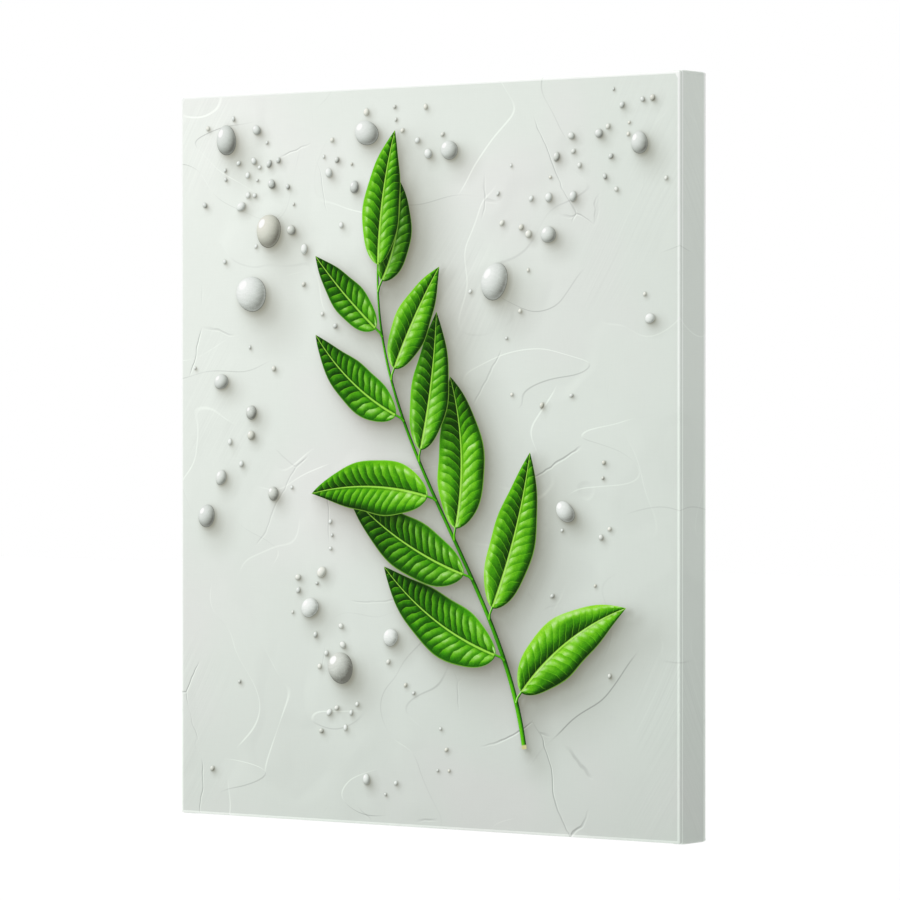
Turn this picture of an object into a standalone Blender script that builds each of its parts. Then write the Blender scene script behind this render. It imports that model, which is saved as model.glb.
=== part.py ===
"""A gallery-wrapped canvas print: printed cloth stretched over four mitred pine bars.

The picture is 20 by 24 inches and 1.5 inches deep, and it hangs on a wall. The wall is the plane Y = 0
and the picture faces -Y. The origin is where a wall nail carries the saw-tooth hanger, with +Z up.

The bars lock together at each corner with a tongue and a slot, and two wooden keys in each corner keep
the cloth tight. The cloth is folded round the bars, pleated at the corners and stapled behind.
"""

import math
import random

import bmesh
import bpy
from mathutils import Matrix, Vector

MM = 0.001
INCH = 0.0254

# The whole picture
WIDTH = 20 * INCH
HEIGHT = 24 * INCH
DEPTH = 1.5 * INCH
CLOTH = 0.5 * MM
GAP = 0.3 * MM  # left between pieces that touch
RETURN_WIDTH = 22 * MM  # cloth folded onto the back
EDGE_RADIUS = 1.6 * MM
CORNER_RADIUS = 0.6 * MM

# The stretcher bars
BAR_WIDTH = 38 * MM
BEAD_WIDTH = 6 * MM
BEAD_HEIGHT = 3 * MM
INNER_RELIEF = 5.5 * MM  # how far the inner edge lies behind the bead
BAR_ROUND = 1.3 * MM
TONGUE_THICKNESS = 6 * MM
CROSS_TONGUE_DEPTH = 10 * MM  # from the back of the bars, on the top and bottom bars
UPRIGHT_TONGUE_DEPTH = 20 * MM  # likewise, on the side bars
TONGUE_END = 1 * MM  # kept clear of the frame's outside

# The corner keys
KEY_THICKNESS = 4.8 * MM
KEY_OUT = 24 * MM  # the length that stands in the window
KEY_IN = 13 * MM  # the length in the slot
KEY_THIN = 5 * MM
KEY_WIDE = 12 * MM
KEY_CHAMFER = 2.5 * MM

# The pleats, where spare cloth is folded flat at each end of the top and of the bottom
PLEAT_THICKNESS = 2 * CLOTH
PLEAT_SINK = 0.2 * MM
PLEAT_TIP = 3 * MM
PLEAT_INSET = 0.3 * MM

# The staples
STAPLE_CROWN = 10.6 * MM
STAPLE_LEG = 8 * MM
STAPLE_WIDTH = 1.2 * MM
STAPLE_THICKNESS = 0.6 * MM
STAPLE_BEND = 0.9 * MM
STAPLE_FROM_EDGE = 12 * MM
STAPLE_FROM_CORNER = 45 * MM
STAPLES_ACROSS = 8  # along the top, and along the bottom
STAPLES_UPRIGHT = 10  # along each side
STAPLE_TILT = 9  # degrees, the most that one is turned by hand
STAPLE_SEED = 7

# The hanger, its nails and the wall pads
NAIL_POINT_DROP = 33.5 * MM  # from the top of the picture to the origin
HANGER_LENGTH = 46 * MM
HANGER_TOP = 7.2 * MM
HANGER_THICKNESS = 0.8 * MM
HANGER_RAISE = 1.4 * MM
RAISED_HALF = 13.5 * MM
FLAT_FROM = 16.5 * MM
TOOTH_PITCH = 2.6 * MM
TOOTH_DEPTH = 1.8 * MM
NAIL_SPACING = 37.8 * MM
NAIL_HEIGHT = 2.7 * MM
NAIL_RADIUS = 0.8 * MM
NAIL_LENGTH = 11 * MM
NAIL_HEAD_RADIUS = 2.3 * MM
NAIL_HEAD_HEIGHT = 0.8 * MM
PAD_RADIUS = 6 * MM
PAD_THICKNESS = 2.2 * MM
PAD_FROM_SIDE = 32 * MM
PAD_FROM_BOTTOM = 12 * MM

# Places worked out from the dimensions above
BACK = -(PAD_THICKNESS + GAP)
FRONT = BACK - DEPTH
TOP = NAIL_POINT_DROP
BOTTOM = TOP - HEIGHT
MIDDLE = (TOP + BOTTOM) / 2
WOOD_BACK = BACK - CLOTH - GAP
WOOD_DEPTH = DEPTH - 2 * (CLOTH + GAP)
WOOD_WIDTH = WIDTH - 2 * (CLOTH + GAP)
WOOD_HEIGHT = HEIGHT - 2 * (CLOTH + GAP)


def clear_scene():
    """Removes every object of the scene."""
    for obj in list(bpy.data.objects):
        bpy.data.objects.remove(obj)


def make_material(name, colour, roughness, metallic=0.0):
    """A Principled material."""
    material = bpy.data.materials.new(name)
    material.use_nodes = True
    shader = material.node_tree.nodes["Principled BSDF"]
    shader.inputs["Base Color"].default_value = (*colour, 1.0)
    shader.inputs["Roughness"].default_value = roughness
    shader.inputs["Metallic"].default_value = metallic
    material.diffuse_color = (*colour, 1.0)
    return material


def object_from(name, bm, material=None):
    """A new object that holds the bmesh, with its faces pointing out."""
    bmesh.ops.recalc_face_normals(bm, faces=bm.faces)
    mesh = bpy.data.meshes.new(name)
    bm.to_mesh(mesh)
    bm.free()
    obj = bpy.data.objects.new(name, mesh)
    bpy.context.scene.collection.objects.link(obj)
    if material:
        mesh.materials.append(material)
    return obj


def shade(obj, angle=40):
    """Shades the object smooth, apart from edges sharper than the angle in degrees."""
    obj.data.shade_smooth()
    obj.data.set_sharp_from_angle(angle=math.radians(angle))


def prism(bm, outline, depth_low, depth_high, plane="XZ"):
    """Adds a closed prism of an outline drawn in the XZ or the XY plane."""
    if plane == "XZ":
        low = [bm.verts.new((a, depth_low, b)) for a, b in outline]
        high = [bm.verts.new((a, depth_high, b)) for a, b in outline]
    else:
        low = [bm.verts.new((a, b, depth_low)) for a, b in outline]
        high = [bm.verts.new((a, b, depth_high)) for a, b in outline]
    bm.faces.new(low)
    bm.faces.new(reversed(high))
    for i in range(len(outline)):
        j = (i + 1) % len(outline)
        bm.faces.new((low[j], low[i], high[i], high[j]))


def boolean(obj, bm, operation="DIFFERENCE"):
    """Cuts the solids in the bmesh out of the object, or joins them to it."""
    tool = object_from("tool", bm)
    modifier = obj.modifiers.new(operation.title(), "BOOLEAN")
    modifier.operation = operation
    modifier.object = tool
    graph = bpy.context.evaluated_depsgraph_get()
    made = bpy.data.meshes.new_from_object(obj.evaluated_get(graph))
    obj.modifiers.clear()
    obj.data = made
    bpy.data.objects.remove(tool)


def arc(centre, radius, start, end, steps):
    """Points of an arc in a plane, from one angle to another in degrees."""
    angles = [math.radians(start + (end - start) * i / steps) for i in range(steps + 1)]
    return [(centre[0] + radius * math.cos(a), centre[1] + radius * math.sin(a)) for a in angles]


# The cloth


def rounded_ring(inset, depth, radius):
    """The corners of a rectangle set in from the picture's outline, with rounded corners."""
    half_x = WIDTH / 2 - inset
    half_z = HEIGHT / 2 - inset
    points = []
    for turn in range(4):
        sx = 1 if turn in (0, 3) else -1
        sz = 1 if turn in (0, 1) else -1
        centre = (sx * (half_x - radius), MIDDLE + sz * (half_z - radius))
        points += arc(centre, radius, 90 * turn, 90 * turn + 90, 2)
    return [Vector((x, depth, z)) for x, z in points]


def wrap_section(offset):
    """The (inset, depth) steps of the cloth's outer face, or of its inner one at a cloth's offset."""
    radius = EDGE_RADIUS - offset
    back_bend = arc((EDGE_RADIUS, BACK - EDGE_RADIUS), radius, 90, 180, 3)
    front_bend = arc((EDGE_RADIUS, FRONT + EDGE_RADIUS), radius, 180, 270, 3)
    return [(RETURN_WIDTH, BACK - offset), *back_bend, *front_bend]


def add_cloth_shell(bm):
    """The cloth as one thin tray: its face, its four sides and what is folded onto the back."""
    inside = [rounded_ring(i, y, 0.1 * MM) for i, y in wrap_section(CLOTH)]
    outside = [rounded_ring(i, y, CORNER_RADIUS) for i, y in wrap_section(0)]
    rings = [[bm.verts.new(p) for p in ring] for ring in [*reversed(inside), *outside]]
    for ring, following in zip(rings, rings[1:]):
        for i in range(len(ring)):
            j = (i + 1) % len(ring)
            bm.faces.new((ring[i], ring[j], following[j], following[i]))
    bm.faces.new(rings[0])
    bm.faces.new(rings[-1])


def add_pleats(bm):
    """The four folded triangles of spare cloth, on top and below at each side."""
    outer = WIDTH / 2 - PLEAT_INSET
    behind = BACK - EDGE_RADIUS - PLEAT_INSET
    tip = FRONT + PLEAT_TIP
    length = behind - tip
    for side in (-1, 1):
        outline = [(side * outer, tip), (side * outer, behind), (side * (outer - length), behind)]
        prism(bm, outline, TOP - PLEAT_SINK, TOP + PLEAT_THICKNESS, plane="XY")
        prism(bm, outline, BOTTOM - PLEAT_THICKNESS, BOTTOM + PLEAT_SINK, plane="XY")


def build_canvas(material, staples):
    """The printed cloth, with its pleats and the holes that the staples made."""
    bm = bmesh.new()
    add_cloth_shell(bm)
    canvas = object_from("canvas", bm, material)
    pleats = bmesh.new()
    add_pleats(pleats)
    boolean(canvas, pleats, "UNION")
    boolean(canvas, leg_holes(staples))
    shade(canvas)


# The stretcher bars


def bar_profile():
    """A bar's section: Z is 0 on its outside and falls inwards, and Y is 0 on its back."""
    front = -WOOD_DEPTH
    r = BAR_ROUND
    outside_back = arc((-r, -r), r, 0, 90, 2)
    inside_back = arc((-BAR_WIDTH + r, -r), r, 90, 180, 2)
    bead = arc((-r, front + r), r, 270, 360, 2)
    bead_foot = [
        (-BAR_WIDTH, front + INNER_RELIEF),
        (-BEAD_WIDTH - BEAD_HEIGHT / 2, front + BEAD_HEIGHT),
        (-BEAD_WIDTH, front + BEAD_HEIGHT / 3),
        (-BEAD_WIDTH + BEAD_HEIGHT / 3, front),
    ]
    return [*outside_back, *inside_back, *bead_foot, *bead]


def key_slope(along):
    """How wide a key is at a distance from its thin end."""
    return KEY_THIN + (KEY_WIDE - KEY_THIN) * along / (KEY_IN + KEY_OUT)


def slot_outline(length, side):
    """The slot at a bar's end: the whole corner, with a channel beside it for the key.

    The channel opens on the bar's inner edge and lies along the neighbouring bar."""
    corner = length / 2 - BAR_WIDTH
    far = length / 2 + 1 * MM
    thin = corner - GAP - key_slope(0) - GAP
    wide = corner - GAP - key_slope(KEY_IN + 1 * MM) - GAP
    inner = -BAR_WIDTH
    points = [
        (wide, inner - 1 * MM),
        (far, inner - 1 * MM),
        (far, 1 * MM),
        (corner - GAP, 1 * MM),
        (corner - GAP, inner + KEY_IN + GAP),
        (thin, inner + KEY_IN + GAP),
    ]
    return [(side * x, z) for x, z in points]


def mitre_outline(length, side):
    """What is cut off a bar's end at 45 degrees, with half of the gap between the bars."""
    end = length / 2 - GAP / math.sqrt(2)
    over = 1 * MM
    inner = BAR_WIDTH + over
    points = [(end + over, over), (end + 2 * BAR_WIDTH, over), (end + 2 * BAR_WIDTH, -inner), (end - inner, -inner)]
    return [(side * x, z) for x, z in points]


def add_bar(name, length, tongue_depth, slot_depth, material):
    """A straight bar along X with both ends cut. Its outside faces +Z, at 0, and its back is at Y 0."""
    bm = bmesh.new()
    profile = [Vector((-length / 2 + TONGUE_END, y, z)) for z, y in bar_profile()]
    low = [bm.verts.new(p) for p in profile]
    face = bm.faces.new(low)
    made = bmesh.ops.extrude_face_region(bm, geom=[face])
    moved = [g for g in made["geom"] if isinstance(g, bmesh.types.BMVert)]
    bmesh.ops.translate(bm, verts=moved, vec=(length - 2 * TONGUE_END, 0, 0))
    bar = object_from(name, bm, material)

    tongue_high = -(tongue_depth + GAP)
    tongue_low = -(tongue_depth + TONGUE_THICKNESS - GAP)
    for side in (-1, 1):
        for low_y, high_y in ((-WOOD_DEPTH - MM, tongue_low), (tongue_high, MM)):
            cutter = bmesh.new()
            prism(cutter, mitre_outline(length, side), low_y, high_y)
            boolean(bar, cutter)
        cutter = bmesh.new()
        prism(cutter, slot_outline(length, side), -(slot_depth + TONGUE_THICKNESS), -slot_depth)
        boolean(bar, cutter)
    return bar


def build_bars(material, staples, nails):
    """The four bars, in place, with the holes for the staples and for the hanger's nails."""
    cross = (WOOD_WIDTH, CROSS_TONGUE_DEPTH, UPRIGHT_TONGUE_DEPTH)
    upright = (WOOD_HEIGHT, UPRIGHT_TONGUE_DEPTH, CROSS_TONGUE_DEPTH)
    rows = [
        ("bar_top", cross, 0, (0, WOOD_HEIGHT / 2)),
        ("bar_bottom", cross, 180, (0, -WOOD_HEIGHT / 2)),
        ("bar_right", upright, 90, (WOOD_WIDTH / 2, 0)),
        ("bar_left", upright, -90, (-WOOD_WIDTH / 2, 0)),
    ]
    for name, (length, tongue, slot), turn, (x, z) in rows:
        bar = add_bar(name, length, tongue, slot, material)
        place = Matrix.Translation((x, WOOD_BACK, MIDDLE + z)) @ Matrix.Rotation(math.radians(turn), 4, "Y")
        bar.data.transform(place)
        side = name.removeprefix("bar_")
        boolean(bar, leg_holes([s for s in staples if s["side"] == side]))
        if side == "top":
            boolean(bar, nail_holes(nails))
        shade(bar)


# The corner keys


def build_keys(material):
    """Two keys in each corner: one lies along the cross bar and one along the upright."""
    corner_x = WOOD_WIDTH / 2 - BAR_WIDTH
    corner_z = WOOD_HEIGHT / 2 - BAR_WIDTH
    wedge = [
        (KEY_IN, -GAP),
        (KEY_IN, -GAP - KEY_THIN),
        (-KEY_OUT + KEY_CHAMFER, -GAP - key_slope(KEY_IN + KEY_OUT - KEY_CHAMFER)),
        (-KEY_OUT, -GAP - KEY_WIDE + KEY_CHAMFER),
        (-KEY_OUT, -GAP),
    ]
    spare = (TONGUE_THICKNESS - KEY_THICKNESS) / 2
    for z_name, sz in (("top", 1), ("bottom", -1)):
        for x_name, sx in (("left", -1), ("right", 1)):
            for kind, depth in (("across", CROSS_TONGUE_DEPTH), ("upright", UPRIGHT_TONGUE_DEPTH)):
                local = wedge if kind == "across" else [(b, a) for a, b in wedge]
                outline = [(sx * (corner_x + a), MIDDLE + sz * (corner_z + b)) for a, b in local]
                bm = bmesh.new()
                high = WOOD_BACK - depth - spare
                prism(bm, outline, high - KEY_THICKNESS, high)
                object_from(f"key_{z_name}_{x_name}_{kind}", bm, material)


# The staples


def staple_places():
    """Where each staple stands: the side, its number and the matrix that puts it there.

    A staple's own X runs along its crown, and its own Z points away from the wood."""
    draw = random.Random(STAPLE_SEED)
    inset_x = WIDTH / 2 - STAPLE_FROM_EDGE
    inset_z = HEIGHT / 2 - STAPLE_FROM_EDGE
    rows = [
        ("top", STAPLES_ACROSS, WIDTH, lambda t: (t, inset_z), 0),
        ("bottom", STAPLES_ACROSS, WIDTH, lambda t: (t, -inset_z), 0),
        ("left", STAPLES_UPRIGHT, HEIGHT, lambda t: (-inset_x, t), 90),
        ("right", STAPLES_UPRIGHT, HEIGHT, lambda t: (inset_x, t), 90),
    ]
    places = []
    for side, count, length, at, turn in rows:
        run = length - 2 * STAPLE_FROM_CORNER
        for n in range(count):
            x, z = at(-run / 2 + run * n / (count - 1))
            tilt = turn + draw.uniform(-STAPLE_TILT, STAPLE_TILT)
            upright = Matrix.Rotation(math.radians(-90), 4, "X")
            matrix = Matrix.Translation((x, BACK, MIDDLE + z)) @ Matrix.Rotation(math.radians(tilt), 4, "Y") @ upright
            places.append({"side": side, "number": n + 1, "matrix": matrix})
    return places


def staple_path():
    """The middle line of a staple's wire, from one point to the other, in its own XZ plane."""
    half = (STAPLE_CROWN - STAPLE_THICKNESS) / 2
    crown = GAP + STAPLE_THICKNESS / 2
    foot = GAP + STAPLE_THICKNESS - STAPLE_LEG
    right = arc((half - STAPLE_BEND, crown - STAPLE_BEND), STAPLE_BEND, 0, 90, 3)
    left = arc((-half + STAPLE_BEND, crown - STAPLE_BEND), STAPLE_BEND, 90, 180, 3)
    return [(half, foot), *right, *left, (-half, foot)]


def build_staples(places, material):
    """One steel staple at each place."""
    path = [Vector((x, 0, z)) for x, z in staple_path()]
    for place in places:
        bm = bmesh.new()
        rings = []
        for i, point in enumerate(path):
            ahead = (path[min(i + 1, len(path) - 1)] - path[max(i - 1, 0)]).normalized()
            across = Vector((-ahead.z, 0, ahead.x)) * STAPLE_THICKNESS / 2
            wide = Vector((0, STAPLE_WIDTH / 2, 0))
            corners = [point + across + wide, point + across - wide, point - across - wide, point - across + wide]
            rings.append([bm.verts.new(place["matrix"] @ c) for c in corners])
        for ring, following in zip(rings, rings[1:]):
            for i in range(4):
                j = (i + 1) % 4
                bm.faces.new((ring[i], ring[j], following[j], following[i]))
        bm.faces.new(rings[0])
        bm.faces.new(rings[-1])
        staple = object_from(f"staple_{place['side']}_{place['number']}", bm, material)
        shade(staple, 50)


def leg_holes(places):
    """The holes of these staples' legs, a gap wider than the legs, as solids to cut with."""
    bm = bmesh.new()
    half = (STAPLE_CROWN - STAPLE_THICKNESS) / 2
    wide = STAPLE_WIDTH / 2 + GAP
    thick = STAPLE_THICKNESS / 2 + GAP
    low = GAP + STAPLE_THICKNESS - STAPLE_LEG - GAP
    for place in places:
        for middle in (-half, half):
            before = set(bm.verts)
            outline = [(middle - thick, -wide), (middle + thick, -wide), (middle + thick, wide), (middle - thick, wide)]
            prism(bm, outline, low, 1 * MM, plane="XY")
            new = [v for v in bm.verts if v not in before]
            bmesh.ops.transform(bm, matrix=place["matrix"], verts=new)
    return bm


# The hanger, its nails and the wall pads


def hanger_raise(x):
    """How far the hanger stands off the wood: flat under its nails and raised over its teeth."""
    share = (FLAT_FROM - abs(x)) / (FLAT_FROM - RAISED_HALF)
    share = min(1.0, max(0.0, share))
    return HANGER_RAISE * share * share * (3 - 2 * share)


def hanger_columns():
    """(x, lowest z, highest z) along the hanger: rounded ends, and teeth on its lower edge."""
    end = HANGER_LENGTH / 2
    middle = (HANGER_TOP - TOOTH_DEPTH / 2) / 2
    tall = HANGER_TOP - middle
    columns = []
    for step in range(6):
        angle = math.radians(15 + 75 * step / 5)
        x = end - tall + tall * math.cos(angle)
        columns.append((x, middle - tall * math.sin(angle), middle + tall * math.sin(angle)))
    straight = middle - tall
    for share in (0.0, 0.25, 0.5, 0.75, 1.0):
        columns.append((FLAT_FROM + (RAISED_HALF - FLAT_FROM) * share, straight, HANGER_TOP))
    teeth = int(RAISED_HALF / TOOTH_PITCH)
    for n in range(teeth, 0, -1):
        columns.append((n * TOOTH_PITCH, 0, HANGER_TOP))
        columns.append(((n - 0.5) * TOOTH_PITCH, -TOOTH_DEPTH, HANGER_TOP))
    mirrored = [(-x, low, high) for x, low, high in reversed(columns)]
    return [*columns, (0.0, 0.0, HANGER_TOP), *mirrored]


def build_hanger(material, nails):
    """The saw-tooth hanger, in the middle of the top bar."""
    bm = bmesh.new()
    rings = []
    for x, low, high in hanger_columns():
        wood_side = WOOD_BACK + GAP + hanger_raise(x)
        wall_side = wood_side + HANGER_THICKNESS
        corners = [(x, wood_side, low), (x, wood_side, high), (x, wall_side, high), (x, wall_side, low)]
        rings.append([bm.verts.new(c) for c in corners])
    for ring, following in zip(rings, rings[1:]):
        for i in range(4):
            j = (i + 1) % 4
            bm.faces.new((ring[i], ring[j], following[j], following[i]))
    bm.faces.new(rings[0])
    bm.faces.new(rings[-1])
    hanger = object_from("hanger", bm, material)
    boolean(hanger, nail_holes(nails))
    shade(hanger, 30)


def turned_pin(bm, profile, x, z, sides):
    """Turns (radius, y) steps about the line through x and z along Y. Both ends of the profile lie on it."""
    start, end = profile[0][1], profile[-1][1]
    first = bm.verts.new((x, start, z))
    last = bm.verts.new((x, end, z))
    rings = []
    for radius, y in profile[1:-1]:
        circle = [(x + a, y, z + b) for a, b in arc((0, 0), radius, 0, 360, sides)[:-1]]
        rings.append([bm.verts.new(p) for p in circle])
    for i in range(sides):
        j = (i + 1) % sides
        bm.faces.new((first, rings[0][i], rings[0][j]))
        bm.faces.new((last, rings[-1][j], rings[-1][i]))
        for ring, following in zip(rings, rings[1:]):
            bm.faces.new((ring[i], following[i], following[j], ring[j]))


def nail_places():
    """The (x, z) of the hanger's two nails."""
    return [(-NAIL_SPACING / 2, NAIL_HEIGHT), (NAIL_SPACING / 2, NAIL_HEIGHT)]


def nail_holes(places):
    """The holes of the nails' shanks, a gap wider than the shanks, as solids to cut with."""
    bm = bmesh.new()
    head_under = WOOD_BACK + 2 * GAP + HANGER_THICKNESS
    low = head_under - NAIL_LENGTH - GAP
    radius = NAIL_RADIUS + GAP
    for x, z in places:
        turned_pin(bm, [(0, low), (radius, low), (radius, 0), (0, 0)], x, z, 12)
    return bm


def build_nails(places, material):
    """The two round-headed nails that hold the hanger."""
    under = WOOD_BACK + 2 * GAP + HANGER_THICKNESS
    profile = [
        (0, under - NAIL_LENGTH),
        (NAIL_RADIUS, under - NAIL_LENGTH + 1.5 * MM),
        (NAIL_RADIUS, under),
        (NAIL_HEAD_RADIUS, under),
        (NAIL_HEAD_RADIUS * 0.9, under + NAIL_HEAD_HEIGHT * 0.6),
        (NAIL_HEAD_RADIUS * 0.5, under + NAIL_HEAD_HEIGHT * 0.93),
        (0, under + NAIL_HEAD_HEIGHT),
    ]
    for name, (x, z) in zip(("left", "right"), places):
        bm = bmesh.new()
        turned_pin(bm, profile, x, z, 12)
        nail = object_from(f"hanger_nail_{name}", bm, material)
        shade(nail, 60)


def build_pads(material):
    """The two soft pads that keep the foot of the picture off the wall."""
    stuck = BACK + GAP
    edge = 0.5 * MM
    profile = [(0, stuck), (PAD_RADIUS, stuck), (PAD_RADIUS, -edge), (PAD_RADIUS - edge, 0), (0, 0)]
    for name, side in (("left", -1), ("right", 1)):
        bm = bmesh.new()
        x = side * (WIDTH / 2 - PAD_FROM_SIDE)
        turned_pin(bm, profile, x, BOTTOM + PAD_FROM_BOTTOM, 24)
        pad = object_from(f"wall_pad_{name}", bm, material)
        shade(pad, 30)


def main():
    """Builds every piece in place."""
    clear_scene()
    cloth = make_material("printed_cloth", (0.78, 0.82, 0.77), 0.65)
    pine = make_material("pine", (0.76, 0.58, 0.36), 0.6)
    key_wood = make_material("key_wood", (0.82, 0.68, 0.48), 0.6)
    steel = make_material("staple_steel", (0.70, 0.71, 0.72), 0.3, metallic=1.0)
    brass = make_material("hanger_brass", (0.78, 0.60, 0.30), 0.35, metallic=1.0)
    rubber = make_material("pad_rubber", (0.10, 0.10, 0.11), 0.7)
    staples = staple_places()
    nails = nail_places()
    build_canvas(cloth, staples)
    build_bars(pine, staples, nails)
    build_keys(key_wood)
    build_staples(staples, steel)
    build_hanger(brass, nails)
    build_nails(nails, brass)
    build_pads(rubber)


main()
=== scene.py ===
"""Dresses a gallery-wrapped canvas print: printed cloth, pine stretcher bars, keys, staples and hanger.

The picture on the cloth is drawn by formulas: a leafy sprig and loose pebbles lie on trowelled plaster.
Each printed shape is a set of the cloth's own faces, and its finish reads where a point lies on it.
"""

import logging
import math
import random
from dataclasses import dataclass, field
from enum import Enum, IntEnum
from typing import Iterable, Iterator, Optional, Union

import bpy
import numpy as np
from mathutils import Euler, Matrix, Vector
from mathutils.geometry import delaunay_2d_cdt
from mathutils.kdtree import KDTree


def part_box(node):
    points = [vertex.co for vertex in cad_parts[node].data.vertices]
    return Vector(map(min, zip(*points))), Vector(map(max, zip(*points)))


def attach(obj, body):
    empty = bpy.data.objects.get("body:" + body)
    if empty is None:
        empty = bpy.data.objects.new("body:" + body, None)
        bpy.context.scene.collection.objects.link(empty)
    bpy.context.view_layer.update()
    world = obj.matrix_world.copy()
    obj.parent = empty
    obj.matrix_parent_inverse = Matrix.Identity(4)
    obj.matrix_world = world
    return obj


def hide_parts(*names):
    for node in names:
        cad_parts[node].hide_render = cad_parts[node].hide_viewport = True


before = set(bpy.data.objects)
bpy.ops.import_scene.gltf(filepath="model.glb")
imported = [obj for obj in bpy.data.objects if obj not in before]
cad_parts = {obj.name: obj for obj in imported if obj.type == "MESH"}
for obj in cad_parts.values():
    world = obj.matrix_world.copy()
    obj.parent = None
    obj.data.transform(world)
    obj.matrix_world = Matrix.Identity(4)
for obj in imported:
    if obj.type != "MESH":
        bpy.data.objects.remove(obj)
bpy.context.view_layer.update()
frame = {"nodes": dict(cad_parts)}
LOG = logging.getLogger("canvas_print")

MM = 0.001
ROOT = "root"
HANGING_HEIGHT = 0.25  # from the floor up to the picture
Triple = tuple[float, float, float]
Colour = Triple
Band = tuple[float, float, float, float]
Socket = bpy.types.NodeSocket
Array = np.ndarray


# Writing materials as expressions


@dataclass(frozen=True)
class Term:
    """A number that varies over a surface. Arithmetic on terms adds the nodes that work it out."""

    graph: "Graph"
    socket: Socket

    def __add__(self, other: "Number") -> "Term":
        """This plus the other."""
        return self.graph.math("ADD", self, other)

    def __sub__(self, other: "Number") -> "Term":
        """This minus the other."""
        return self.graph.math("SUBTRACT", self, other)

    def __rsub__(self, other: float) -> "Term":
        """The other minus this."""
        return self.graph.math("SUBTRACT", other, self)

    def __mul__(self, other: "Number") -> "Term":
        """This times the other."""
        return self.graph.math("MULTIPLY", self, other)

    def __truediv__(self, other: "Number") -> "Term":
        """This over the other."""
        return self.graph.math("DIVIDE", self, other)

    def __pow__(self, other: "Number") -> "Term":
        """This to the power of the other."""
        return self.graph.math("POWER", self, other)

    def __abs__(self) -> "Term":
        """The size of this."""
        return self.graph.math("ABSOLUTE", self)

    __radd__ = __add__
    __rmul__ = __mul__

    def of(self, operation: str, *others: "Number") -> "Term":
        """Another of the maths node's operations on this, by its name."""
        return self.graph.math(operation, self, *others)

    def within(self, low: float, high: float) -> "Term":
        """This, held between two limits."""
        return self.of("MAXIMUM", low).of("MINIMUM", high)

    def rise(self, low: "Number", high: "Number") -> "Term":
        """Goes smoothly from 0 at low to 1 at high."""
        node = self.graph.node("MapRange", interpolation_type="SMOOTHSTEP")
        return Term(self.graph, self.graph.filled(node, self, low, high).outputs["Result"])

    def fall(self, low: "Number", high: "Number") -> "Term":
        """Goes smoothly from 1 at low to 0 at high."""
        return 1.0 - self.rise(low, high)

    def band(self, start: "Number", full: "Number", fading: "Number", end: "Number") -> "Term":
        """Goes from 0 at start to 1 at full, stays there up to fading, and is 0 again at end."""
        return self.rise(start, full) * self.fall(fading, end)


Number = Union[Term, float]
Paint = Union[Socket, Colour]


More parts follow.
